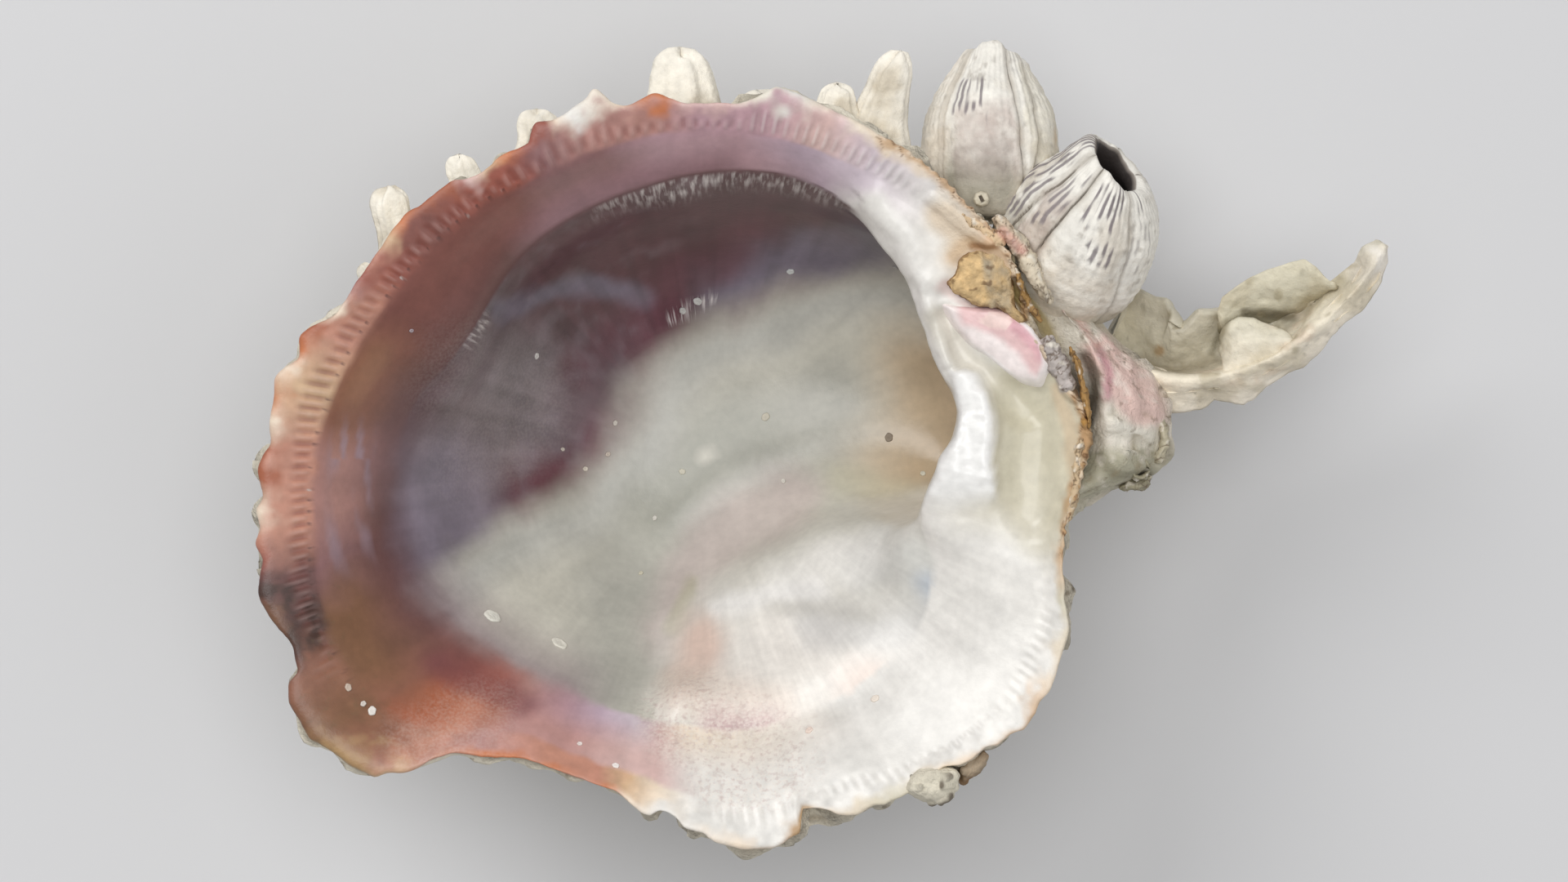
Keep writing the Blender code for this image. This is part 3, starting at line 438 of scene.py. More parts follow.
lift = lift + 0.10 * smooth(line_number, 8.0, 9.0) * noise(bowl, 7, 13)
worn_lip = smooth(np.abs(line_number - 9.7), 0.9, 0.3) * between(fine_angles, WORN_LIP, 6)
lift = lift + worn_lip * (0.22 * rough(bowl, 3.2, 16, 3))
bowl = bowl + bowl_normals * lift[..., None]
bowl[..., 2] = np.maximum(bowl[..., 2], 0)


def ring_mesh(rings, first_pole, last_pole):
    """Points and faces of a closed skin through rings, the next one having as many points, twice or half."""
    points = np.concatenate([*rings, [first_pole], [last_pole]])
    starts = np.concatenate([[0], np.cumsum([len(r) for r in rings])])
    faces = []
    count = len(rings[0])
    for j in range(count):
        faces.append((len(points) - 2, (j + 1) % count, j))
    for i, (lower, upper) in enumerate(zip(rings[:-1], rings[1:])):
        a, b, n, m = starts[i], starts[i + 1], len(lower), len(upper)
        for j in range(min(n, m)):
            k = (j + 1) % min(n, m)
            if n == m:
                faces.append((a + j, a + k, b + k, b + j))
            elif m > n:
                faces.append((a + j, a + k, b + 2 * k, b + 2 * j + 1))
                faces.append((a + j, b + 2 * j + 1, b + 2 * j))
            else:
                faces.append((a + 2 * j + 1, a + 2 * k, b + k, b + j))
                faces.append((a + 2 * j, a + 2 * j + 1, b + j))
    last, count = starts[-2], len(rings[-1])
    for j in range(count):
        faces.append((len(points) - 1, last + j, last + (j + 1) % count))
    return points, faces


def merged(parts):
    """One list of points and faces from several."""
    points, faces, first = [], [], 0
    for part_points, part_faces in parts:
        points.append(part_points)
        faces += [tuple(first + i for i in f) for f in part_faces]
        first += len(part_points)
    return np.concatenate(points), faces


def mesh_object(name, points, faces, tint, gloss, material):
    """A smooth-shaded mesh; tint is a linear colour for each point and gloss its polish from 0 to 1."""
    mesh = bpy.data.meshes.new(name)
    mesh.from_pydata((np.asarray(points) * MM).tolist(), [], [tuple(int(i) for i in f) for f in faces])
    mesh.shade_smooth()
    layer = mesh.color_attributes.new("tint", "FLOAT_COLOR", "POINT")
    rgba = np.concatenate([np.clip(tint, 0, 1), np.ones((len(tint), 1))], axis=1)
    layer.data.foreach_set("color", rgba.astype(np.float32).ravel())
    layer = mesh.attributes.new("gloss", "FLOAT", "POINT")
    layer.data.foreach_set("value", np.full(len(points), gloss, np.float32))
    mesh.materials.append(material)
    obj = bpy.data.objects.new(name, mesh)
    bpy.context.scene.collection.objects.link(obj)
    return obj


def srgb(code):
    """The linear colour of a hexadecimal sRGB code."""
    c = np.array([int(code[i : i + 2], 16) for i in (0, 2, 4)]) / 255
    return np.where(c <= 0.04045, c / 12.92, ((c + 0.055) / 1.055) ** 2.4)


CREAM, IVORY, WHITE, STONE = srgb("ead9c4"), srgb("e2dac8"), srgb("e6e3dd"), srgb("cfc8b4")
PALE_LILAC, LILAC, ROSE_GREY, MAUVE = srgb("cfc2ca"), srgb("c0aab8"), srgb("ba969e"), srgb("967078")
DUSK, RED_BROWN, BROWN, DARK_BROWN = srgb("8e6868"), srgb("82524a"), srgb("6b4845"), srgb("543a35")
WARM_BROWN, OLIVE_BROWN, RUST, ORANGE = srgb("8d5f4c"), srgb("7e5a42"), srgb("a46045"), srgb("c67a52")
SALMON, PINK_SALMON, ROSE, PINK = srgb("c08a76"), srgb("bb8f89"), srgb("b1847c"), srgb("d4b4ae")
BRICK, SAND, TAN = srgb("9a5a4d"), srgb("b08f66"), srgb("cfae8c")
OLIVE, BISCUIT = srgb("cfccbf"), srgb("cfc8b2")

MARGIN_COLOURS = [
    (48, CREAM), (60, CREAM), (72, IVORY), (76, WHITE), (82, IVORY), (85, PINK), (93, PINK), (96, ORANGE),
    (99, ORANGE), (101, SALMON), (104, CREAM), (111, WHITE), (113, CREAM), (115, BRICK), (120, BRICK),
    (123, ORANGE), (127, TAN), (130, PINK), (133, RUST), (138, RUST), (142, ORANGE), (145, TAN),
    (148, SALMON), (152, BRICK), (155, ROSE), (158, CREAM), (161, RUST), (165, ORANGE), (168, CREAM),
    (172, ORANGE), (175, CREAM), (179, RUST), (183, RUST), (187, CREAM), (190, SALMON), (193, BRICK),
    (196, BROWN), (200, OLIVE_BROWN), (206, DARK_BROWN), (209, WARM_BROWN), (214, OLIVE_BROWN),
    (217, SAND), (222, SAND), (225, TAN), (229, SALMON), (234, ORANGE), (242, ORANGE), (250, SALMON),
    (254, ORANGE), (258, CREAM), (264, WHITE), (276, CREAM), (282, TAN), (285, SAND), (289, CREAM),
    (300, BISCUIT), (310, CREAM), (322, TAN), (327, CREAM), (338, STONE), (345, TAN), (350, SAND),
    (5, SAND), (12, TAN), (24, STONE), (36, TAN),
]
BAND_COLOURS = [
    (48, WHITE), (60, PALE_LILAC), (70, PINK), (78, ROSE_GREY), (90, ROSE_GREY), (98, ROSE), (110, ROSE),
    (118, DUSK), (124, BRICK), (131, BRICK), (140, RED_BROWN), (150, BRICK), (156, SALMON), (162, SALMON),
    (170, TAN), (178, SALMON), (190, SALMON), (196, BROWN), (203, DARK_BROWN), (208, WARM_BROWN),
    (216, OLIVE_BROWN), (221, WARM_BROWN), (226, SALMON), (232, PINK_SALMON), (242, SALMON),
    (252, SALMON), (257, TAN), (262, CREAM), (268, WHITE), (300, WHITE), (340, WHITE), (350, BISCUIT),
    (12, BISCUIT), (22, STONE), (38, TAN), (44, WHITE),
]
OUTER_PALLIAL = [
    (46, WHITE), (60, PALE_LILAC), (72, LILAC), (84, ROSE_GREY), (98, ROSE_GREY), (108, DUSK),
    (118, DUSK), (126, RED_BROWN), (145, RED_BROWN), (155, RED_BROWN), (164, WARM_BROWN),
    (174, WARM_BROWN), (180, ROSE), (188, ROSE), (196, DUSK), (203, OLIVE_BROWN), (212, OLIVE_BROWN),
    (217, WARM_BROWN), (222, RUST), (227, SALMON), (234, PINK_SALMON), (246, PINK_SALMON), (256, PINK),
    (262, PINK), (270, WHITE), (300, WHITE), (342, WHITE), (352, BISCUIT), (8, BISCUIT), (16, OLIVE),
    (24, WHITE), (40, WHITE),
]
INNER_PALLIAL = [
    (46, WHITE), (58, WHITE), (66, LILAC), (78, ROSE_GREY), (88, MAUVE), (104, MAUVE), (122, MAUVE),
    (134, BROWN), (158, BROWN), (172, BROWN), (180, DUSK), (188, BROWN), (204, BROWN), (213, BROWN),
    (220, RED_BROWN), (227, BRICK), (232, ROSE), (240, ROSE_GREY), (249, LILAC), (256, PALE_LILAC),
    (261, PINK), (266, CREAM), (300, WHITE), (340, WHITE), (352, WHITE), (8, WHITE), (16, WHITE),
    (30, WHITE),
]


def colour_round(stations, angles):
    """The colour at these angles, blended between (angle, colour) stations."""
    rows = sorted(stations, key=lambda row: row[0])
    keys = [row[0] for row in rows]
    channels = [[row[1][i] for row in rows] for i in range(3)]
    return np.stack([np.interp(angles, keys, channel, period=360) for channel in channels], axis=-1)


def paint(tint, colour, mask):
    """Lays a colour, or the colour of a code, over the tint where the mask is 1."""
    colour = srgb(colour) if isinstance(colour, str) else np.asarray(colour)
    return tint + (colour - tint) * np.clip(mask, 0, 1)[..., None]


def patch(x, y, path, radius, soft):
    """1 within radius of the path, falling to 0 over soft."""
    if len(path) > 1:
        away = distance_to(np.array(path, float), x, y)
    else:
        away = np.hypot(x - path[0][0], y - path[0][1])
    return smooth(away, radius + soft, radius)


def dabs(tint, x, y, rows, where=1.0):
    """Lays soft dabs in order; a row is colour, strength, path, radius and the width of the soft edge."""
    for colour, strength, path, radius, soft in rows:
        tint = paint(tint, colour, strength * where * patch(x, y, path, radius, soft))
    return tint


# What lies deep in the cup is seen nearer the middle of the picture. These are the places where it is seen,
# on the plane of the margin, by an eye straight above.
EYE_HEIGHT = 1056.0
EYE_ABOVE = np.array([10.5, 2.1])
SEEN_PLANE = 48.0
seen_share = (EYE_HEIGHT - SEEN_PLANE) / (EYE_HEIGHT - bowl[..., 2])
seen_x = EYE_ABOVE[0] + (bowl[..., 0] - EYE_ABOVE[0]) * seen_share
seen_y = EYE_ABOVE[1] + (bowl[..., 1] - EYE_ABOVE[1]) * seen_share
px = seen_x + 1.3 * rough(bowl, 9, 21, 3)
py = seen_y + 1.3 * rough(bowl, 9, 27, 3)
seen_angle = np.degrees(np.arctan2(seen_y, seen_x))

# Inside: an olive-cream floor, a dark plum field along its upper left, a pale shelf at the lower right.
DARK_EDGE = [
    (-46, -26), (-37.8, -17.3), (-31.5, -13.2), (-26.3, -9.4), (-21, -6.3), (-16.8, -3.2), (-12.1, 2.1),
    (-8.4, 9.5), (-4.2, 14.7), (0, 17.9), (6.3, 20.5), (14.7, 22.6), (25.2, 24.7), (34, 26),
]
SHELF_EDGE = [
    (-5.4, -31), (-5.2, -26), (-3.6, -21.6), (-0.4, -18.2), (3.6, -15.8), (9.6, -12.6), (16.8, -9.8),
    (24.0, -7.6), (30, -5),
]
radial = np.stack([seen_angle * 0.9, np.hypot(seen_x, seen_y) * 0.12, 0 * seen_x], axis=-1)
streaks = rough(radial, 2.2, 41, 3) * smooth(np.hypot(seen_x, seen_y), 8, 24)
cloudy = rough(bowl, 6, 43)
into_dark = side_of(px, py, DARK_EDGE)
dark = smooth(into_dark + 0.7 * cloudy, -3.6, 3.0)
on_shelf = -side_of(px, py, SHELF_EDGE)

tint = np.broadcast_to(OLIVE, bowl.shape)
tint = dabs(tint, px, py, [("b3b2a8", 0.9, [(16, 6), (2, 1), (-8, -12), (-11, -28)], 2.5, 8)])
# A grey band a few millimetres out on the pale floor, along the dark field's edge: painted shade below the
# wall.
tint = paint(tint, "b0b2b0", 0.5 * smooth(np.abs(into_dark + 4.0), 5.5, 0))
tint = dabs(tint, px, py, [
    # Beige along the hinge lip: partly the floor's own beige, partly painted shade under the overhang.
    ("c2ae92", 0.85, [(28, 11), (29.5, 4), (26, -1)], 1.5, 9),
    # A darker dab on the floor of the cup, there to damp the top lamp's reflection: painted shade.
    ("9a9a8d", 0.6, [(6, 3.5), (1, 1), (-4, -5)], 1.5, 7),
    # Darker tan right beside the hinge lip: painted shade under the overhang.
    ("b59c7a", 0.55, [(30, 10), (31.5, 5), (30, -1)], 1, 6),
    ("c8b6b2", 0.55, [(11, -5), (4, -9), (-1, -15), (-4, -22)], 1.5, 5),
    # This dab and the next, greenish along the creases of the fold, are partly the creases' own tint and
    # partly painted shade in the fold.
    ("c4bfa4", 0.5, [(18, -3.8), (27, -5.0)], 0.8, 3.4),
    ("a5a078", 0.6, [(-1.5, -17.6), (-4.0, -21.6)], 0.3, 1.8),
])
tint = tint * (1 + 0.09 * cloudy + 0.05 * streaks)[..., None]

field = np.broadcast_to(srgb("5e3d43"), bowl.shape)
field = dabs(field, px, py, [
    ("67565c", 1.0, [(-36, 14), (-28, 14), (-20, 8)], 3, 10),
    ("928a8e", 0.55, [(-30, 1), (-24, 9), (-27, 4)], 2, 8),
    ("7f7683", 1.0, [(-35, -4), (-31, -10), (-36, -14)], 2.5, 9),
    ("777080", 0.9, [(1, 22.5), (12, 25.4), (24, 26)], 1.0, 4.6),
    ("7a7484", 0.8, [(-27, 18.4), (-21, 21), (-14, 21.6), (-8, 21)], 0.3, 2.0),
    ("613842", 0.75, [(-14, 12), (-7, 17), (-2, 24), (8, 29)], 1.0, 4.0),
    ("683c46", 0.6, [(-12, 4), (-18, -1), (-22, -5)], 0.4, 3.0),
    ("8a8291", 0.4, [(-40, -2), (-38, -9), (-35, -14)], 1.0, 4.0),
    ("5b4549", 0.3, [(-20, 16), (-10, 17)], 1, 4),
])
haze = smooth(rough(bowl, 3.2, 45, 5), 0.0, 1.0) * smooth(px, 6, -14)
field = paint(field, "8f858d", 0.28 * haze)
field = field * (1 + 0.20 * cloudy + 0.16 * streaks)[..., None]
tint = paint(tint, field, dark * smooth(line_number, 15.5, 14.6))

shelf = np.broadcast_to(srgb("e2dfd6"), bowl.shape)
shelf = dabs(shelf, px, py, [
    ("cccbc5", 1.0, [(22, -13.4), (31, -16), (38, -15)], 1.5, 5),
    ("b9c0c8", 0.8, [(29, -17), (33, -17.6)], 0.4, 3),
    ("f3eee6", 0.9, [(10, -27), (19, -31), (26, -30)], 4, 8),
    # Near-white just below the fold: partly the shelf's own white, partly painted highlight on the rounded
    # lip.
    ("f4f2ec", 0.6, [(12, -13.6), (20, -12)], 1.6, 4),
    ("d3ab98", 0.6, [(-0.4, -23.6), (-2.4, -27.8)], 1.2, 4.4),
    # A thin white line along the fold's lip: partly the shelf's white, partly painted highlight.
    ("f4f2ee", 0.7, [(2.4, -19.4), (8, -17), (15, -16.6)], 0.2, 2.4),
    ("ecd9cd", 0.7, [(20, -29.5), (26, -32.5)], 1, 5),
    ("ead8c9", 0.6, [(-3, -30), (4, -31), (10, -33)], 1, 5),
    ("d0cfcd", 0.6, [(14, -21), (24, -22.5), (33, -21)], 0.8, 4),
    ("c49fa2", 0.75, [(3, -35), (9, -36)], 0.8, 4.6),
    ("b9b1b1", 0.6, [(4, -38.5), (12, -38.8)], 1, 4),
])
SCAR_ARC = [
    (40.7, -13.6), (40.9, -16.7), (40.4, -19.8), (39.2, -22.6), (37.3, -24.9), (35.0, -26.8),
    (32.2, -28.4), (28.8, -29.5),
]
# The scar's edge, a fine raised line: a white line, partly the edge's own white and partly painted
# highlight, with a grey copy shifted up and to the left that is painted shade beside it.
shelf = paint(shelf, "fbfaf6", 0.6 * patch(seen_x, seen_y, SCAR_ARC, 0.05, 0.5))
shelf = paint(shelf, "c9c4ba", 0.4 * patch(seen_x + 0.7, seen_y - 0.5, SCAR_ARC, 0.1, 1.0))
shelf = dabs(shelf, px, py, [("c6c3ba", 0.5, [(9.7, -19.0), (15, -19.6), (21.3, -19.8)], 0.2, 1.6)])
shelf = shelf * (1 + 0.05 * cloudy + 0.07 * streaks)[..., None]
tint = paint(tint, shelf, smooth(on_shelf + 0.6 * cloudy, -3.4, 2.8))
lower_left_haze = between(seen_angle, (188, 254), 18) * smooth(line_number, 12.4, 10.3)
tint = paint(tint, "8a757c", 0.7 * lower_left_haze * smooth(into_dark, 4, -4))
frosted = between(seen_angle, (76, 112), 14) * smooth(line_number, 11.5, 10.3)
tint = paint(tint, "aa9aa0", 0.3 * frosted * smooth(rough(bowl, 2.4, 44), -0.5, 0.6))

# The bands outside the pallial line, each with its own colour round.
PALLIAL_LINE = 10.0
outer_pallial = colour_round(OUTER_PALLIAL, seen_angle + 1.6 * rough(bowl, 6, 31, 3))
inner_pallial = colour_round(INNER_PALLIAL, seen_angle + 1.6 * rough(bowl, 5, 32, 3))
pallial = paint(outer_pallial, inner_pallial, smooth(line_number + 0.12 * cloudy, 8.6, 9.9))
ochre_cloud = between(seen_angle, (158, 174), 5) * smooth(np.abs(line_number - 8.5 - 0.2 * cloudy), 0.5, 0.1)
pallial = paint(pallial, "b98a62", 0.22 * ochre_cloud)
pallial = dabs(pallial, px, py, [
    ("a9603f", 0.5, [(-32, -31), (-28.6, -31.6)], 1.0, 4.6),
    ("6f3c41", 0.6, [(-34, -25.8), (-29, -28.4), (-24, -32.0)], 0.4, 3.0),
])
around_band = np.stack([seen_angle * 0.12, np.hypot(seen_x, seen_y), 0 * seen_x], axis=-1)
lavender_rays = between(seen_angle, (172, 200), 7) * smooth(np.abs(line_number - 9.0), 0.8, 0.3)
pallial = paint(pallial, "9c8894", 0.7 * lavender_rays * smooth(noise(around_band, 1.0, 57), 0.0, 0.6))
pallial = pallial * (1 + 0.07 * rough(bowl, 3, 46) + 0.06 * streaks)[..., None]
soft_edge = 0.05 + 0.6 * between(seen_angle, (165, 256), 20)
past_line = line_number - PALLIAL_LINE
inside_line = smooth(past_line + 0.04 * streaks + 0.3 * soft_edge * cloudy, -0.6 * soft_edge, soft_edge)
dark_line = smooth(np.abs(past_line), 0.16, 0.03) * between(seen_angle, (64, 172), 14)
tint = paint(pallial, tint, inside_line)
tint = paint(tint, "5d3639", 0.75 * dark_line)
# A dark wine band over the inner edge and the steep wall under it, on the left: partly the rim's own wine
# colour, partly painted shade on the wall.
wine_rim_and_wall_shade = smooth(np.abs(line_number - 10.3), 1.2, 0.1) * between(seen_angle, (150, 216), 14)
tint = paint(tint, "5d4144", 0.55 * wine_rim_and_wall_shade)

band_colour = colour_round(BAND_COLOURS, seen_angle + 0.8 * rough(bowl, 2, 34, 2))
band_colour = band_colour * (1 + 0.14 * rough(bowl, 1.6, 47))[..., None]
tint = paint(tint, band_colour, smooth(line_number + 0.08 * noise(bowl, 2, 48), 8.22, 7.98))
redness = between(seen_angle, (80, 232), 10)
# The teeth's ridges are painted lighter and the grooves between them darker: partly the teeth's own tones,
# partly painted light on the ridges and painted shade in the grooves.
ridge_tone_and_light = smooth(crenule, 0.2, 0.9) * toothed * band
groove_tone_and_shade = smooth(-crenule, 0.1, 0.9) * toothed * band
tint = paint(tint, PINK, 0.22 * ridge_tone_and_light * redness)
tint = paint(tint, "7c3f38", (0.36 + 0.24 * between(seen_angle, (150, 200), 10)) * groove_tone_and_shade * redness)
tint = paint(tint, WHITE, 0.3 * ridge_tone_and_light * (1 - redness))
tint = paint(tint, "b3a79b", 0.16 * groove_tone_and_shade * (1 - redness))
# Near-black pits at the inner ends of the grooves: painted shade in the recesses; the white specks in some
# of them are painted highlights.
tooth_pit_shade = smooth(-crenule, 0.55, 0.95) * smooth(np.abs(line_number - 8.02), 0.09, 0.03)
tooth_pit_shade = tooth_pit_shade * between(seen_angle, (118, 215), 6) * (noise(bowl, 1.4, 49) > -0.1)
tint = paint(tint, "4a2c28", 0.7 * tooth_pit_shade)
pit_highlight = 0.6 * tooth_pit_shade * (noise(bowl, 0.7, 50) > 0.62)
tint = paint(tint, WHITE, 0.9 * pit_highlight)
margin_colour = colour_round(MARGIN_COLOURS, seen_angle + 0.7 * rough(bowl, 2.5, 36, 3))
crest = smooth(line_number + 0.30 * rough(bowl, 2.6, 33, 3), 7.62, 7.10)
tint = paint(tint, margin_colour, crest)
black_stain = between(seen_angle, (194, 208), 3) * smooth(line_number, 8.3, 7.8)
black_stain = black_stain * smooth(line_number, 6.8, 7.1) * smooth(rough(bowl, 2.2, 51), -0.3, 0.5)
tint = paint(tint, "3a2a24", 0.8 * black_stain * (1 - 0.8 * ridge_tone_and_light))

# The hinge plate: white lip and tooth, beige troughs, a pink tooth, brown frills along the edge.
on_hinge = smooth(line_number, 6.9, 7.1) * smooth(line_number, 10.6, 10.3)
tint = dabs(tint, wavy_x, wavy_y, [
    ("e9e6e0", 1.0, [(22, 31.4), (27, 24.6), (29.6, 18.6), (31.4, 12.6)], 1.3, 2.4),
    ("cfc9bb", 0.8, [(30.4, 17.8), (34.0, 12.2), (39.4, 8.2)], 0.8, 1.8),
    ("c7c1ab", 0.9, [(41.0, 8), (41.4, 3), (41.6, -2)], 2.0, 4.0),
    ("d2ccb9", 0.6, [(43.0, -4), (43.4, -10)], 1.0, 3.6),
], on_hinge)
on_white_tooth = area(wavy_x, wavy_y, WHITE_TOOTH, 1.0) * smooth(wavy_y, -8.0, -3.5)
tint = paint(tint, "f3f2ef", on_hinge * on_white_tooth)
tint = dabs(tint, wavy_x, wavy_y, [
    ("dccab2", 0.9, [(31.0, 31.0), (33.4, 28.6), (33.0, 26.0)], 1.0, 2.6),
    ("c29c6c", 0.5, [(32.2, 25.6), (33.2, 27.0), (34.4, 27.6)], 0.2, 1.5),
    # A thin dark brown line along the ligament flake's edge: partly the ligament's brown, partly painted
    # shade where it meets the plate.
    ("8d6238", 0.8, [(34.6, 27.1), (36.6, 27.0), (38.0, 27.3)], 0.1, 0.7),
    ("d3aea6", 0.5, [(31.0, 21.9), (33.2, 20.5), (34.8, 19.6)], 0.4, 1.0),
    ("a4925f", 1.0, [(40.2, 21.6), (43.4, 18.2), (45.2, 15.4)], 0.8, 0.7),
    ("cfb391", 0.5, [(45.8, 9.0), (47.2, 4), (47.8, 0), (48.2, -3), (47.4, -8), (46.8, -12)], 0.3, 1.1),
    ("b3a9a6", 1.0, [(43.9, 15.4), (45.4, 11.8), (46.6, 9.0)], 0.5, 0.5),
    ("b5853f", 0.9, [(46.9, 13.8), (48.8, 10.1), (49.5, 7.0), (49.6, 4.0)], 0.3, 0.5),
], on_hinge)
frill = smooth(np.abs(line_number - 7.0 - 0.15 * noise(bowl, 2, 52)), 0.5, 0.15)
frill = frill * between(seen_angle, (342, 64), 5)
tint = paint(tint, "b8936a", 0.8 * frill * smooth(rough(bowl, 1.5, 53), -0.6, 0.3))
tint = paint(tint, "e2d3bb", 0.8 * frill * smooth(rough(bowl, 1.8, 58), 0.2, 0.6))
tint = paint(tint, "6b4a2c", 0.85 * frill * smooth(np.abs(rough(bowl, 1.3, 54, 3)), 0.16, 0.03))
orange_stain = patch(px, py, [(31, 31), (34, 27.6), (36.4, 25.4)], 1.0, 3.6)

# Outside: chalky layers, darker where each layer's step sets the surface back; the beak has a rosy patch, a
# white crust and a dark groove.
chalk = IVORY * (1 + 0.10 * rough(bowl, 5, 35))[..., None]
chalk = paint(chalk, "9c9484", smooth(rough(bowl, 6, 37), 0.25, 0.9) * 0.6)
# Darker where the surface is set back at each layer's step.
chalk = paint(chalk, "8d7a60", smooth(0.4 - ledge, 0.1, 0.4) * 0.5 * (1 - on_beak))
chalk = paint(chalk, "e2dccf", on_beak * 0.8)
chalk = dabs(chalk, px, py, [("dfbfb6", 0.92, [(51.6, 13.0), (54.4, 9.6), (57.4, 7.4)], 2.4, 1.6)], on_beak)
chalk = dabs(chalk, px, py, [
    ("c58a80", 0.6, [(44.8, 21.0), (48.0, 18.2), (50.4, 15.0)], 0.1, 0.9),
    ("bb7488", 0.6, [(50.8, 14.0), (51.8, 10.4), (51.6, 6.4)], 0.1, 1.0),
    ("ebe5d8", 0.9, [(51.4, 5.6), (53.6, 4.0), (56.0, 3.0)], 0.9, 1.0),
])
chalk = paint(chalk, "a9a58c", 0.8 * on_beak * smooth(py, 2.6, 0.4))
chalk = dabs(chalk, px, py, [("77715a", 0.6, [(52.0, 0.6), (53.2, -2.6), (57.4, -2.4)], 0.2, 1.0)])
# Darker in the low parts of the crust's relief on the beak.
crust_hollows = on_beak * smooth(-beak_crust, 0.25, 0.8) * (0.4 + 0.6 * smooth(py, 8, 2))
chalk = paint(chalk, "94866a", 0.6 * crust_hollows)
chalk = paint(chalk, "efe6db", 0.45 * on_beak * smooth(rough(bowl, 1.1, 59), 0.2, 0.7))
groove_line = smooth(np.abs(line_number - 5.95), 0.45, 0.15)
chalk = paint(chalk, "a08e5e", 0.9 * groove_line * between(seen_angle, (15, 36), 5))
chalk = paint(chalk, "52432f", 0.85 * groove_line * between(seen_angle, (350, 18), 6))
chalk = dabs(chalk, px, py, [("4f4230", 0.8, [(49.0, 13.4), (50.2, 9.4), (50.4, 4.4)], 0.2, 0.7)])
tint = paint(tint, chalk, smooth(line_number + 0.1 * noise(bowl, 2, 56), 6.75, 6.45))
gloss = np.broadcast_to(smooth(line_number, 6.5, 7.6), tint.shape[:2])
gloss = gloss * (1 - 0.7 * np.clip(orange_stain + frill, 0, 1))

# Masks for detail finer than the points: white flecks along the pallial line, sandy patches, rays, specks.
fleck = smooth(line_number, 10.04, 10.2) * (
    0.8 * between(seen_angle, (56, 118), 10) * smooth(line_number, 11.4, 10.5)
    + 0.9 * between(seen_angle, (88, 106), 8) * smooth(line_number, 11.6, 10.7)
    + 0.9 * between(seen_angle, (145, 156), 3) * smooth(line_number, 11.2, 10.6)
)
fleck = fleck + 0.9 * patch(px, py, [(-4.0, 18.9), (0.8, 20.7)], 0.4, 0.8)
beaded = between(seen_angle, (118, 149), 4) * smooth(np.abs(line_number - 10.10), 0.07, 0.03)
fleck = np.clip(fleck, 0, 1) + beaded
sandy = patch(px, py, [(-1, -34), (8, -37), (5, -42)], 3.5, 6) * smooth(line_number, 7.6, 8.2)
sandy = sandy + 0.12 * patch(px, py, [(-28, 2), (-23, 8), (-30, 10)], 3, 8) * dark
sandy = np.clip(0.95 * sandy + 0.22 * patch(px, py, [(-29, -33), (-36, -36)], 2, 5), 0, 1)
rays = smooth(line_number, 8.3, 10.0) * (1 - smooth(line_number, 12.2, 13.8))
rays = rays * (0.5 + 0.3 * smooth(on_shelf, 6, 12))
specks = smooth(line_number, 7.0, 6.4) + 0.6 * frill
specks = specks + 0.5 * between(seen_angle, (196, 222), 6) * (line_number < 8.6)
marks = np.stack([fleck, sandy, rays, np.clip(specks, 0, 1)], axis=-1)

finest = (line_number >= FINEST_LINES[0]) & (line_number < FINEST_LINES[1])
fine = (line_number >= FINE_LINES[0]) & (line_number < FINE_LINES[1])
spacing = np.where(finest, 1, np.where(fine, 2, 4)).ravel()


def thinned(layer):
    """Every point, every second or every fourth one of each row."""
    return [row[::k] for row, k in zip(layer, spacing)]


points, faces = ring_mesh(thinned(bowl), (0, 0, 0), (0, 0, cup_middle))
flat_tint = np.concatenate(thinned(tint) + [[IVORY], [OLIVE]])
flat_gloss = np.concatenate(thinned(gloss) + [[0.0], [1.0]])
flat_marks = np.concatenate(thinned(marks) + [[[0, 0, 0, 1]], [[0, 0, 0, 0]]])


def node_material(name):
    """A new material, its nodes and its links."""
    material = bpy.data.materials.new(name)
    material.use_nodes = True
    return material, material.node_tree.nodes, material.node_tree.links


def add_node(nodes, kind, **values):
    """A shader node with these values for its inputs; _ in a name stands for a space."""
    node = nodes.new("ShaderNode" + kind)
    for name, value in values.items():
        node.inputs[name.replace("_", " ")].default_value = value
    return node


def attribute(nodes, name):
    """The node of the mesh attribute of this name."""
    node = nodes.new("ShaderNodeAttribute")
    node.attribute_name = name
    return node


def math_node(nodes, links, operation, first, second):
    """The result of an operation on two numbers, each given or from a socket."""
    node = nodes.new("ShaderNodeMath")
    node.operation = operation
    for socket, value in zip(node.inputs, (first, second)):
        if isinstance(value, (int, float)):
            socket.default_value = value
        else:
            links.new(value, socket)
    return node.outputs[0]


def noise_node(nodes, links, vector, **values):
    """Noise from 0 to 1."""
    node = add_node(nodes, "TexNoise", **values)
    links.new(vector, node.inputs["Vector"])
    return node.outputs["Fac"]


def range_node(nodes, links, value, **ends):
    """A number mapped from one range to another."""
    node = add_node(nodes, "MapRange", **ends)
    links.new(value, node.inputs["Value"])
    return node.outputs["Result"]


def over(nodes, links, below, colour, factor):
    """A colour laid over the one below by a factor."""
    mix = nodes.new("ShaderNodeMix")
    mix.data_type = "RGBA"
    links.new(factor, mix.inputs["Factor"])
    links.new(below, mix.inputs["A"])
    mix.inputs["B"].default_value = (*[float(v) for v in colour], 1)
    return mix.outputs["Result"]


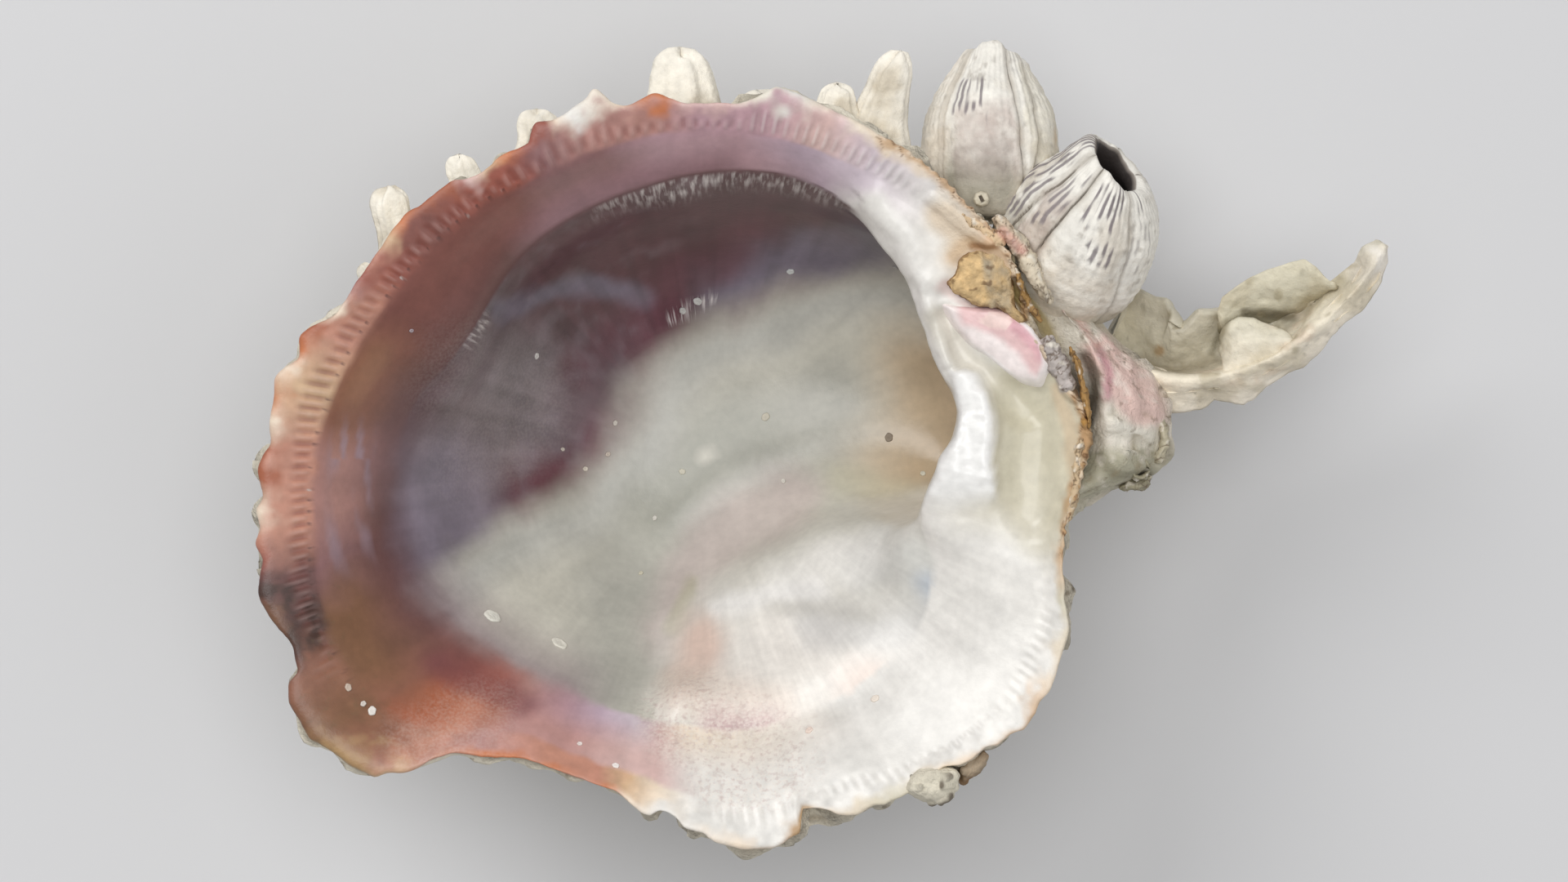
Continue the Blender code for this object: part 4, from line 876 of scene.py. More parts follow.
def marked(nodes, links, colour, place):
    """The bowl's fine detail over its tint: rays, sand, grit, flecks and specks."""
    marks_node = attribute(nodes, "marks")
    parts = nodes.new("ShaderNodeSeparateColor")
    links.new(marks_node.outputs["Color"], parts.inputs["Color"])
    flecks, sand, rays = (parts.outputs[name] for name in ("Red", "Green", "Blue"))
    axes = nodes.new("ShaderNodeSeparateXYZ")
    links.new(place, axes.inputs["Vector"])
    angle = math_node(nodes, links, "ARCTAN2", axes.outputs["Y"], axes.outputs["X"])
    reach = nodes.new("ShaderNodeVectorMath")
    reach.operation = "LENGTH"
    links.new(place, reach.inputs[0])
    polar_node = nodes.new("ShaderNodeCombineXYZ")
    links.new(math_node(nodes, links, "MULTIPLY", angle, 34.0), polar_node.inputs["X"])
    links.new(math_node(nodes, links, "MULTIPLY", reach.outputs["Value"], 130.0), polar_node.inputs["Y"])
    polar = polar_node.outputs["Vector"]
    layers = [
        # mask, strength, colour; where the noise is, its scale and detail, and the range over which it shows
        (rays, 0.08, (0.08, 0.05, 0.05), polar, 1.6, 2, 0.35, 0.65),
        (sand, 0.6, srgb("ece4da"), place, 2600, 2, 0.36, 0.68),
        (sand, 0.5, srgb("b39590"), place, 1500, 5, 0.50, 0.74),
        (flecks, 1.0, srgb("ddd5d4"), polar, 1.8, 3, 0.46, 0.70),
        (marks_node.outputs["Alpha"], 0.6, srgb("6d5a41"), place, 700, 3, 0.60, 0.72),
    ]
    for mask, strength, shade, where, scale, detail, low, high in layers:
        grain = noise_node(nodes, links, where, Scale=scale, Detail=detail)
        shown = range_node(nodes, links, grain, From_Min=low, From_Max=high)
        masked = math_node(nodes, links, "MULTIPLY", mask, strength)
        colour = over(nodes, links, colour, shade, math_node(nodes, links, "MULTIPLY", shown, masked))
    return colour


def shell_material(name, polished, dull, bump_size, bump_height, mottle=0.08, with_marks=False):
    """The tint with fine mottling, from chalky to polished by the gloss attribute."""
    material, nodes, links = node_material(name)
    shader = nodes["Principled BSDF"]
    place = nodes.new("ShaderNodeTexCoord").outputs["Object"]
    base = attribute(nodes, "tint").outputs["Color"]
    polish = attribute(nodes, "gloss").outputs["Fac"]
    if with_marks:
        base = marked(nodes, links, base, place)
    grain = noise_node(nodes, links, place, Scale=900, Detail=3)
    shade = range_node(nodes, links, grain, From_Min=0.3, From_Max=0.7, To_Min=1 - mottle, To_Max=1 + mottle)
    mottled = nodes.new("ShaderNodeVectorMath")
    mottled.operation = "SCALE"
    links.new(base, mottled.inputs[0])
    links.new(shade, mottled.inputs["Scale"])
    links.new(mottled.outputs["Vector"], shader.inputs["Base Color"])
    links.new(range_node(nodes, links, polish, To_Min=dull, To_Max=polished), shader.inputs["Roughness"])
    relief = noise_node(nodes, links, place, Scale=1000 / bump_size, Detail=4, Roughness=0.65)
    bump = add_node(nodes, "Bump", Distance=bump_height * MM)
    links.new(range_node(nodes, links, polish, To_Min=1.0, To_Max=0.08), bump.inputs["Strength"])
    links.new(relief, bump.inputs["Height"])
    links.new(bump.outputs["Normal"], shader.inputs["Normal"])
    return material


shell = shell_material("shell", polished=0.32, dull=0.85, bump_size=1.6, bump_height=0.5)
inner_shell = shell_material("shell_with_marks", 0.28, 0.85, 1.6, 0.5, mottle=0.05, with_marks=True)
valve = mesh_object("valve_bowl", points, faces, flat_tint, flat_gloss, inner_shell)
layer = valve.data.color_attributes.new("marks", "FLOAT_COLOR", "POINT")
layer.data.foreach_set("color", np.clip(flat_marks, 0, 1).astype(np.float32).ravel())
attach(valve, "root")
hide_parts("valve")

# The pink tooth.
# The upper hinge tooth, a thick rosy plate of the same shell with a steep white edge. It is grown on the
# hinge plate.

PLATE_ROWS = slice(sum(ROWS_OUTSIDE) + 3, sum(ROWS_OUTSIDE) + 47)  # the bowl's rows over the hinge plate
PLATE_REACH = 14.0


def resting_height(x, y):
    """The height of the bowl's inner surface at these places in plan."""
    near = bowl[PLATE_ROWS].reshape(-1, 3)
    near = near[np.hypot(near[:, 0] - np.mean(x), near[:, 1] - np.mean(y)) < PLATE_REACH]
    away = np.hypot(near[:, 0] - np.ravel(x)[:, None], near[:, 1] - np.ravel(y)[:, None])
    weight = np.exp(-((away / 0.5) ** 2)) + 1e-12
    return (weight @ near[:, 2] / weight.sum(1)).reshape(np.shape(x))


def along_path(path, share):
    """Points at these shares of the path's length."""
    path = np.array(path, float)
    reach = np.concatenate([[0], np.cumsum(np.linalg.norm(np.diff(path, axis=0), axis=1))])
    return np.stack([np.interp(share * reach[-1], reach, axis) for axis in path.T], axis=-1)


def along_outline(outline, count, rounds):
    """Points evenly along a closed outline, its corners rounded off by this many rounds of averaging."""
    edge = along_path([*outline, outline[0]], np.arange(count) / count)
    for _ in range(rounds):
        edge = 0.5 * edge + 0.25 * (np.roll(edge, 1, 0) + np.roll(edge, -1, 0))
    return edge


TOOTH_PROFILE = [
    # share of the outline, height
    (1.05, -0.9), (1.0, -0.2), (0.93, 0.5), (0.86, 0.95), (0.79, 1.2), (0.7, 1.32), (0.6, 1.38),
    (0.5, 1.42), (0.4, 1.44), (0.3, 1.45), (0.2, 1.45), (0.1, 1.45), (0.03, 1.45),
]

edge = along_outline(PINK_TOOTH, 200, 8)
if (edge[:, 0] * np.roll(edge[:, 1], -1) - edge[:, 1] * np.roll(edge[:, 0], -1)).sum() < 0:
    edge = edge[::-1]
heart = edge.mean(0)
edge_height = resting_height(edge[:, 0], edge[:, 1])
plate_terms = np.column_stack([np.ones(len(edge)), edge])
plate_tilt = np.linalg.lstsq(plate_terms, edge_height, rcond=None)[0]
tooth_rings = []
for share, high in TOOTH_PROFILE:
    flat_ring = heart + (edge - heart) * share
    below = resting_height(flat_ring[:, 0], flat_ring[:, 1])
    plate = np.column_stack([np.ones(len(edge)), flat_ring]) @ plate_tilt
    low = smooth(share, 0.80, 0.98)
    tooth_rings.append(np.column_stack([flat_ring, low * below + (1 - low) * plate + high]))
tooth_rings = np.array(tooth_rings)
tooth_rings[..., 2] += 0.10 * rough(tooth_rings, 2.2, 62, 3)
tooth_top = tooth_rings[-1, :, 2].mean()
points, faces = ring_mesh(list(tooth_rings), (*heart, tooth_top - 2.6), (*heart, tooth_top))
tooth_share = np.concatenate([np.repeat([share for share, _ in TOOTH_PROFILE], len(edge)), [1.0, 0.0]])
tx, ty = points[:, 0] + 0.25 * noise(points, 1.5, 63), points[:, 1] + 0.25 * noise(points, 1.5, 64)
tooth_tint = np.broadcast_to(srgb("f3e8e5"), points.shape)
tooth_tint = dabs(tooth_tint, tx, ty, [
    ("e3bfbe", 1.0, [(34.6, 18.6), (38.0, 17.6), (41.2, 15.2), (43.6, 12.2)], 1.1, 1.3),
    ("cf97a0", 0.85, [(40.2, 17.4), (42.0, 15.6), (43.6, 13.4)], 0.3, 1.3),
])
pale_lobe = [(35.4, 17.4), (37.0, 18.7), (39.0, 18.5), (39.9, 17.6), (39.2, 16.6), (37.2, 16.7)]
tooth_tint = paint(tooth_tint, "edd3cb", 0.85 * area(tx, ty, pale_lobe, 0.3))
white_edge = smooth(tooth_share, 0.76, 0.90) * smooth(ty - 0.55 * (tx - 38.6), 18.4, 16.4)
tooth_tint = paint(tooth_tint, "f6f0ee", white_edge)
tooth = mesh_object("valve_tooth", points, faces, tooth_tint, 1.0, shell)
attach(tooth, "root")
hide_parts("valve")

# The small scars inside.
# Thin white chalky rings and dots that tube worms and young barnacles left on the polished inside. They are
# stuck fast to it.

SPOTS = [
    # x and y as seen, radius, colour
    (-27.1, -20.5, 1.15, "dedbd0"), (-18.3, -23.8, 1.05, "dedacd"), (-21.2, 13.0, 0.45, "d0ccc8"),
    (-10.8, 4.2, 0.36, "c9c2b8"), (8.7, 5.6, 0.55, "d6d0bf"), (11.3, 23.7, 0.50, "cdcfce"),
    (-3.2, -2.3, 0.42, "dbd6c4"), (24.7, 24.2, 0.35, "b0aca8"), (10.5, -3.2, 0.36, "d8d3c8"),
    (-6.2, -7.9, 0.34, "d6d2c8"), (-7.8, -14.6, 0.32, "cfc9b4"), (-12.6, 0.4, 0.36, "c9bdb0"),
    (-14.6, -1.4, 0.36, "cfc6b8"), (-0.6, 20.2, 0.60, "c4c2bf"), (-2.6, 19.2, 0.50, "bdbbb8"),
    (24.6, 2.6, 0.60, "8f8272"), (13.6, -35.0, 0.50, "e6d3c6"), (22.2, -30.9, 0.55, "e8ddd0"),
    (-37.3, 16.2, 0.30, "a89aa0"), (-17.6, 1.0, 0.30, "c0b6ac"), (28.2, -1.8, 0.40, "d8d3c0"),
    (-45.7, -29.6, 0.5, "c8b6a6"), (-42.4, -32.6, 0.6, "e3ddd6"), (-43.4, -31.6, 0.4, "d8cfc6"),
    (-15.8, -36.8, 0.35, "e6dad4"), (-11.2, -39.6, 0.45, "efe7e2"),
]
# Share of the radius and height in millimetres, and how light each ring is: darker at the foot and in the
# middle, lightest on the crest, which is painted light and shade.
SPOT_PROFILE = [(1.0, -0.02), (0.92, 0.12), (0.72, 0.19), (0.45, 0.15), (0.2, 0.13)]
SPOT_LIGHT_AND_SHADE = (0.88, 1.0, 1.02, 0.98, 0.95)


def round_angles(count):
    """The angles of this many points round a ring, in radians."""
    return np.arange(count) * 2 * np.pi / count


inside_rows = slice(sum(ROWS_OUTSIDE) + 10, None)
inner_points = bowl[inside_rows].reshape(-1, 3)
inner_normals = ring_normals(bowl)[inside_rows].reshape(-1, 3)
inner_seen = np.stack([seen_x, seen_y], -1)[inside_rows].reshape(-1, 2)
scar_parts = []
scar_tints = []
for n, (x, y, radius, code) in enumerate(SPOTS):
    nearest = np.argmin(np.hypot(inner_seen[:, 0] - x, inner_seen[:, 1] - y))
    middle, up = inner_points[nearest], inner_normals[nearest]
    across = unit(np.cross(up, (0.3, 0.9, 0.1)))
    beside = np.cross(up, across)
    a = round_angles(28)
    edge = radius * (1 + 0.10 * np.cos(2 * a + n) + 0.05 * np.cos(5 * a + 2 * n))
    rings = []
    for share, high in SPOT_PROFILE:
        out = np.outer(edge * share * np.cos(a), across) + np.outer(edge * share * np.sin(a), beside)
        rings.append(middle + out + up * high)
    scar_parts.append(ring_mesh(rings, middle - 0.04 * up, middle + SPOT_PROFILE[-1][1] * up))
    ring_tint = np.repeat([srgb(code) * k for k in SPOT_LIGHT_AND_SHADE], len(a), axis=0)
    scar_tints.append(np.concatenate([ring_tint, [srgb(code), srgb(code) * 0.94]]))
points, faces = merged(scar_parts)
scars = mesh_object("valve_scars", points, faces, np.concatenate(scar_tints), 0.35, shell)
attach(scars, "root")
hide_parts("valve")

# The spines.
# Worn tongues of the same chalky shell, grown out of its outside in rows and fused to it at their roots. The
# big ones stand out past the upper margin.

EDGE_SPINES = [
    # root x, y, z; tip x, y, z; width at the root and tip
    (22.8, 39.6, 41.0, 25.3, 52.3, 42.5, 8.4, 4.4),
    (17.2, 43.2, 41.5, 17.2, 48.3, 42.0, 6.2, 4.6),
    (7.4, 43.6, 42.0, 7.0, 47.4, 42.0, 6.6, 5.4),
    (-3.2, 42.6, 41.0, -2.8, 52.8, 42.0, 10.6, 7.8),
    (-20.6, 39.0, 41.0, -21.2, 45.0, 41.5, 7.2, 5.4),
    (-29.4, 33.4, 40.5, -31.4, 39.2, 41.0, 5.0, 4.0),
    (-38.6, 27.2, 40.0, -40.8, 34.9, 41.0, 4.8, 5.4),
    (-42.0, 21.6, 40.0, -44.4, 24.8, 40.5, 3.4, 2.4),
]
SPINE_ROWS = [
    # height on the outside, number round, length, first angle
    (34.0, 16, 6.5, 99.0),
    (24.5, 14, 6.0, 107.0),
    (15.0, 12, 5.0, 96.0),
]
SPINE_ROWS_END = 342.0
MARGIN_COVER = 1.6
SPINE_THICKNESS = 0.5


def tongue(root, tip, root_width, tip_width, side, around, rows, seed):
    """Rings of a blunt fluted tongue from root to tip; side is the direction of its width."""
    root, tip = np.array(root, float), np.array(tip, float)
    length = np.linalg.norm(tip - root)
    along = unit(tip - root)
    side = np.array(side, float)
    side = unit(side - along * (side @ along))
    thick = np.cross(along, side)
    a = round_angles(around)
    flute = 1 + 0.09 * np.cos(5 * a + seed) + 0.08 * np.cos(9 * a + 2 * seed)
    rings = []
    for share in np.linspace(0, 1, rows):
        width = 0.5 * (root_width + (tip_width - root_width) * share)
        width = width * (1 - 0.10 * math.sin(math.pi * share)) * (1 + 0.25 * (1 - share) ** 4)
        round_off = max(1 - share**7, 0.0) ** 0.5 * 0.98 + 0.02
        u = width * round_off * flute * np.cos(a)
        v = width * round_off * flute * np.sin(a) * SPINE_THICKNESS
        dish = -0.16 * width * smooth(share, 0.3, 1.0) * np.cos(2 * a)
        lean = 0.05 * length * math.sin(2.5 * share + seed)
        middle = root + along * length * (share - 0.03 * (1 - round_off)) + side * lean
        ring = middle + np.outer(u, side) + np.outer(v + 0.3 * dish, thick)
        rings.append(ring + np.outer(0.06 * length * share * np.cos(3 * a + seed), along))
    rings = np.array(rings)
    worn = 0.16 * rough(rings, 2.2, seed) + 0.25 * noise(rings, 5, seed)
    return rings + ring_normals(rings) * worn[..., None]


def closed_mesh(rings):
    """The skin through these rings, closed at both ends in the middle of the last ring."""
    return ring_mesh(list(rings), rings[0].mean(0), rings[-1].mean(0))


def chalk_tint(points, seed=0, pale=IVORY, stain=srgb("a2957c")):
    """Chalky ivory with soft brownish weathering."""
    tint = np.asarray(pale) * (1 + 0.08 * rough(points, 3, seed))[..., None]
    return paint(tint, stain, 0.55 * smooth(rough(points, 5, seed + 3), 0.1, 1.0))


def on_outside(angle, height):
    """The point of the bowl's outside at this angle and height, with its outward normal."""
    j = int(round(angle * FINE_AROUND / 360)) % FINE_AROUND
    column = bowl[: sum(ROWS_OUTSIDE), j]
    i = int(np.argmax(column[:, 2] > height))
    return column[i], bowl_normals[i, j]


spine_parts = []
for n, (x0, y0, z0, x1, y1, z1, *widths) in enumerate(EDGE_SPINES):
    rings = tongue((x0, y0, z0), (x1, y1, z1), *widths, (y0 - y1, x1 - x0, 0), 40, 30, n + 1)
    spine_parts.append(closed_mesh(rings))
for row, (height, count, length, first) in enumerate(SPINE_ROWS):
    for n in range(count):
        angle = first + (SPINE_ROWS_END - first) * n / (count - 1)
        point, normal = on_outside(angle, height)
        reach = length * (1 + 0.34 * math.sin(2.3 * n + 1.7 * row))
        along = unit(normal + np.array([0, 0, 0.55 + 0.2 * math.sin(1.9 * n + row)]))
        cover = round_curve(MARGIN)(angle) - MARGIN_COVER - math.hypot(point[0], point[1])
        if reach * math.hypot(along[0], along[1]) > cover:
            along = unit(along + np.array([0, 0, 1.2]))
            reach = min(reach, max(cover / math.hypot(along[0], along[1]), 0.35 * reach))
        wide = 4.4 + 0.9 * math.cos(3.1 * n)
        side = (-point[1], point[0], 0)
        root, tip = point - 1.8 * along, point + reach * along
        spine_parts.append(closed_mesh(tongue(root, tip, wide, 0.7 * wide, side, 18, 11, 7 * row + n)))
points, faces = merged(spine_parts)
spine_tint = chalk_tint(points, 3, srgb("f2ecdf"), srgb("b5a588"))
dirty_root = smooth(np.hypot(points[:, 0], points[:, 1]), 48.5, 44.5) * smooth(points[:, 1], 30, 36)
spine_tint = paint(spine_tint, "9a8360", 0.6 * dirty_root * smooth(rough(points, 2, 5), -0.4, 0.5))
spines = mesh_object("valve_spines", points, faces, spine_tint, 0.35, shell)
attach(spines, "root")
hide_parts("valve")

# The frond.
# A worn leafy outgrowth of the beak, of the same shell: a trough with a thick rolled lip towards the front,
# and two lobes standing behind it. It grew as one with the beak.

FROND_BACK = [
    (56.2, 22.6, 30.0), (58.6, 20.8, 32.0), (60.1, 20.5, 33.0), (60.7, 19.0, 33.0), (60.2, 17.6, 32.5),
    (60.9, 16.3, 32.5), (62.5, 16.6, 33.0), (63.6, 17.7, 33.5), (64.7, 19.0, 34.0), (67.2, 18.7, 34.0),
    (70.3, 17.6, 33.0), (73.5, 17.1, 33.0), (77.7, 19.3, 34.5), (81.1, 22.6, 36.5), (83.1, 24.3, 38.0),
    (84.2, 25.3, 39.0), (85.5, 27.2, 39.6), (87.0, 27.8, 40.0),
]
FROND_TROUGH = [
    (52.5, 15.5, 27.0), (56.2, 13.9, 28.0), (58.8, 12.4, 28.5), (61.9, 12.0, 29.0), (65.6, 13.0, 30.0),
    (68.8, 14.4, 31.0), (71.9, 15.2, 31.5), (75.6, 17.3, 33.0), (79.0, 19.7, 35.0), (81.9, 22.1, 37.0),
    (84.2, 24.0, 39.0), (86.2, 26.2, 41.2), (87.5, 27.5, 40.8),
]
FROND_CREST = [
    (52.5, 13.2, 35.0), (55.1, 12.4, 35.5), (58.0, 11.1, 36.0), (60.9, 10.3, 36.3), (64.0, 10.0, 36.5),
    (67.2, 10.4, 37.0), (70.3, 11.4, 37.8), (74.0, 12.8, 38.8), (77.7, 15.3, 40.0), (81.4, 18.4, 41.0),
    (84.5, 21.9, 41.6), (86.8, 25.0, 42.0), (88.0, 27.0, 41.2),
]
FROND_FRONT = [
    (52.5, 8.0, 31.0), (55.1, 7.4, 31.0), (58.8, 6.1, 31.5), (60.8, 5.7, 32.0), (62.5, 6.0, 32.0),
    (64.9, 6.4, 32.2), (66.7, 7.4, 32.6), (68.7, 7.0, 32.6), (70.5, 6.6, 33.0), (71.9, 7.3, 33.4),
    (73.6, 9.0, 34.2), (76.6, 10.6, 35.0), (78.1, 11.3, 35.5), (79.8, 13.2, 36.5), (81.1, 15.2, 37.2),
    (82.4, 17.1, 38.0), (85.4, 19.3, 38.6), (88.2, 22.8, 39.2), (89.1, 25.2, 39.6), (88.6, 26.9, 40.0),
]
BACK_LOBE = [
    [(66.9, 18.9, 36.0), (67.4, 20.7, 37.0), (69.3, 22.2, 37.4), (71.4, 23.5, 37.6), (73.5, 24.4, 38.0),
     (76.1, 25.2, 38.6), (77.9, 25.6, 39.2), (79.4, 24.6, 39.4), (80.4, 23.6, 39.0), (81.4, 22.8, 38.6)],
    [(67.4, 17.8, 36.0), (70.4, 19.4, 36.2), (74.6, 19.9, 36.6), (78.2, 21.4, 37.6), (81.6, 22.3, 38.6)],
    [(67.2, 16.0, 30.4), (70.0, 16.4, 30.4), (74.0, 16.8, 31.0), (77.6, 18.0, 32.2), (82.0, 20.8, 35.4)],
]
MIDDLE_LOBE = [
    [(67.0, 13.9, 32.6), (67.2, 15.5, 34.6), (68.0, 17.2, 35.6), (69.7, 18.2, 36.0), (71.6, 18.1, 36.2),
     (73.3, 17.2, 36.0), (74.8, 16.6, 36.8)],
    [(67.4, 13.0, 34.8), (68.4, 14.8, 36.6), (70.0, 15.8, 37.4), (71.8, 16.0, 37.6), (73.6, 15.4, 37.8),
     (75.6, 15.6, 38.4)],
    [(67.5, 10.7, 36.2), (70.4, 11.6, 37.0), (74.0, 13.0, 38.0), (77.0, 15.0, 39.0)],
]


def turned_in(rings):
    """Whether the skin through these rings would face inwards."""
    facing = np.cross(np.roll(rings, -1, axis=1) - rings, np.gradient(rings, axis=0))
    return (facing * (rings - rings.mean(1, keepdims=True))).sum() < 0


def leaf(lines, columns, rows_between, thickness, seed, ripple):
    """Rings of a sheet whose upper side runs smoothly through these lines, from back edge to front edge."""
    share = np.linspace(0, 1, columns)
    stack = np.array([along_path(line, share) for line in lines])
    upper = rows_through(np.moveaxis(stack, 1, 2), (rows_between,) * (len(lines) - 1)).transpose(0, 2, 1)
    upper = np.concatenate([upper, stack[-1:]]).transpose(1, 0, 2)
    normal = unit(np.cross(np.gradient(upper, axis=0), np.gradient(upper, axis=1)))
    normal = normal * np.sign(normal[..., 2:].mean())
    relief = ripple * noise(upper, 4.5, seed) + 0.22 * rough(upper, 1.8, seed + 1)
    upper = upper + normal * relief[..., None]
    across = np.linspace(-1, 1, upper.shape[1])
    thin = 1 - 0.5 * share + 0.45 * smooth(share, 0.82, 0.95)
    deep = thickness * np.sqrt(1 - 0.96 * across**10)[None, :, None] * thin[:, None, None]
    lower = upper - normal * deep * (1 + 0.3 * noise(upper, 6, seed + 5))[..., None]
    rings = np.concatenate([upper, lower[:, ::-1]], axis=1)
    last, middle = rings[-1], rings[-1].mean(0)
    onward = 0.8 * unit(middle - rings[-3].mean(0))
    ends = [middle + (last - middle) * math.sqrt(1 - t * t) + onward * t for t in (0.35, 0.6, 0.8, 0.93)]
    return np.concatenate([rings, ends])


frond_rings = leaf([FROND_BACK, FROND_TROUGH, FROND_CREST, FROND_FRONT], 150, 14, 2.6, 41, 0.55)
back_rings = leaf(BACK_LOBE, 60, 14, 1.2, 47, 0.5)
middle_rings = leaf(MIDDLE_LOBE, 40, 10, 1.2, 53, 0.3)
frond_parts = []
frond_tints = []
# Each sheet is tinted across from its back edge to its front edge: the back and the trough darker olive, the
# crest and the front bright ivory, partly the frond's own tones and partly painted shade on the sides turned
# from the light; the back lobe's dark lower rows are painted shade in the crevice at its root.
for rings, rows_between, codes in (
    (frond_rings, 14, ("d3ccb8", "c9c2ad", "f3e9d4", "f5ebda")),
    (back_rings, 14, ("d6cfb8", "cbc4ad", "8f886f", "8f886f")),
    (middle_rings, 10, ("d3cdb9", "dcd5c2", "efe5d0", "efe5d0")),
):
    start = rings[0].mean(0) + (rings[0].mean(0) - rings[1].mean(0))
    end = rings[-1].mean(0) + 0.3 * (rings[-1].mean(0) - rings[-2].mean(0))
    count = rings.shape[1] // 2
    across = np.arange(count) / rows_between
    channels = np.array([srgb(code) for code in codes]).T
    across_tint_and_shade = np.stack([np.interp(across, range(4), channel) for channel in channels], axis=-1)
    across_tint_and_shade = np.concatenate([across_tint_and_shade, across_tint_and_shade[::-1]])
    part_tint = np.broadcast_to(across_tint_and_shade, rings.shape)
    lengthwise = np.broadcast_to(np.arange(rings.shape[1]) * 0.45, rings.shape[:2])
    lengthwise = np.stack([lengthwise, rings[..., 0] * 0.12, rings[..., 1] * 0.12], axis=-1)
    fibre = 0.09 * rough(lengthwise, 1.0, 65, 3) + 0.06 * rough(rings, 4, 66)
    part_tint = part_tint * (1 + fibre)[..., None]
    if turned_in(rings):
        rings = rings[:, ::-1]
        part_tint = part_tint[:, ::-1]
    frond_parts.append(ring_mesh(list(rings), start, end))
    frond_tints.append(np.concatenate([part_tint.reshape(-1, 3), part_tint[[0, -1], 0]]))
points, faces = merged(frond_parts)
frond_tint = np.concatenate(frond_tints)
fx, fy = points[:, 0], points[:, 1]
rosy_lip = smooth(rough(points, 3.0, 67), 0.2, 0.8) * smooth(fy - 0.5 * (fx - 60), 12, 8)
frond_tint = paint(frond_tint, "d9c2aa", 0.5 * rosy_lip)
frond_tint = dabs(frond_tint, fx, fy, [
    ("f5efe6", 0.8, [(85.2, 24.4), (86.8, 25.6)], 0.8, 2.0),
    ("a97f4e", 0.8, [(59.6, 13.9)], 0.4, 0.5),
    # This line and the next, thin and dark in the crevices at the roots of the back lobe and the middle
    # lobe: painted shade.
    ("6a6048", 0.7, [(70.4, 18.9), (74.0, 18.6), (76.8, 18.2)], 0.2, 0.7),
    ("7d755c", 0.7, [(66.4, 13.6), (67.4, 16.0), (68.0, 17.6)], 0.1, 0.7),
])
frond_tint = paint(frond_tint, "9b8f70", 0.6 * smooth(noise(points, 2.0, 68), 0.55, 0.9))
frond_tint = paint(frond_tint, "b5a88a", 0.45 * smooth(rough(points, 4.5, 73), 0.0, 0.7))
frond_tint = dabs(frond_tint, fx, fy, [
    # A darker band along the trough of the frond: painted shade in the trough.
    ("8a7c60", 0.5, [(58.0, 12.4), (62.0, 11.6), (66.4, 12.6)], 0.3, 1.6),
])
# Small dark dots where the frond has small pits that the mesh does not carve: painted shade in the pits.
frond_pit_shade = smooth(noise(points, 0.55, 71), 0.62, 0.8) * smooth(noise(points, 3.0, 72), 0.0, 0.4)
near_root = smooth(fx, 63.0, 60.0) * smooth(fy, 14.0, 16.0)
frond_pit_shade = frond_pit_shade * (near_root + 0.35 + 0.5 * patch(fx, fy, [(60.5, 9.4), (63.0, 8.6)], 1.0, 1.5))
frond_tint = paint(frond_tint, "5d523a", 0.8 * frond_pit_shade)
frond = mesh_object("valve_frond", points, faces, frond_tint, 0.45, shell)
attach(frond, "root")
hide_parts("valve")

# The broken frills of the hinge.
# Crumbling edges of the shell's own layers along the hinge margin and on the beak: cream crusts, a grey
# scaly lump and an amber strip of old ligament. They grew on the valve or dried fast to it.

CRUST_RING = [
    (57.9, -1.5), (57.3, -0.5), (56.1, -0.5), (55.5, -1.5), (56.0, -2.6), (57.1, -2.8), (57.8, -1.9),
]
FRILLS = [
    # x and y along it, width, lowest, highest, colour
    ([(37.6, 31.0), (38.9, 29.6), (40.4, 27.4)], 2.0, 45.0, 49.0, "dcc9b0"),
    ([(38.6, 29.6), (40.6, 27.6), (41.9, 25.2), (43.0, 22.8), (45.0, 19.8)], 2.2, 44.4, 48.7, "d8cbb4"),
    ([(33.4, 31.4), (35.2, 30.0), (37.2, 28.6), (38.8, 27.2)], 1.9, 45.6, 48.2, "d3b894"),
    ([(40.2, 24.6), (41.0, 22.0), (42.2, 19.6), (43.6, 17.4)], 0.8, 45.6, 48.0, "a8834f"),
    ([(44.3, 15.6), (45.2, 13.2), (46.4, 10.8), (47.4, 8.4)], 2.5, 45.0, 48.4, "b7aea9"),
    ([(47.3, 14.2), (48.6, 11.0), (49.3, 7.6), (49.8, 3.6)], 0.8, 45.0, 48.3, "a9824c"),
    ([(48.7, 2.4), (48.3, -1.6), (47.8, -5.0), (46.9, -8.4)], 1.3, 45.4, 47.9, "cdb491"),
    (CRUST_RING, 0.9, 36.0, 40.6, "a9a289"),
    ([(58.8, 5.6), (59.8, 3.6), (60.0, 1.2), (58.8, -0.8)], 1.7, 34.0, 38.8, "b9b098"),
    ([(58.2, -2.6), (56.6, -3.6), (54.0, -3.9)], 1.5, 35.0, 38.6, "a29b82"),
]


def crumbled(path, width, low, high, seed):
    """Rings round a rough broken strip along (x, y) points."""
    share = np.linspace(0, 1, 80)
    middle = along_path([(x, y, 0.5 * (low + high)) for x, y in path], share)
    for _ in range(8):
        middle[1:-1] = 0.5 * middle[1:-1] + 0.25 * (middle[:-2] + middle[2:])
    onward = np.gradient(middle, axis=0)
    side = unit(np.stack([onward[:, 1], -onward[:, 0], 0 * share], axis=-1))
    a = round_angles(32)
    taper = np.sqrt(1 - 0.98 * np.abs(2 * share - 1) ** 4)
    wide = 0.5 * width * taper * (1 + 0.35 * noise(middle, 1.4, seed))
    tall = 0.5 * (high - low) * (0.5 + 0.5 * taper)
    rings = middle[:, None] + (wide[:, None] * np.cos(a))[..., None] * side[:, None]
    rings[..., 2] += tall[:, None] * np.sin(a)
    if turned_in(rings):
        rings = rings[:, ::-1]
    scales = 0.45 * (0.5 - np.abs(rough(rings, 1.5, seed, 3)))
    return rings + ring_normals(rings) * (scales + 0.16 * rough(rings, 0.6, seed + 4, 2) - 0.1)[..., None]


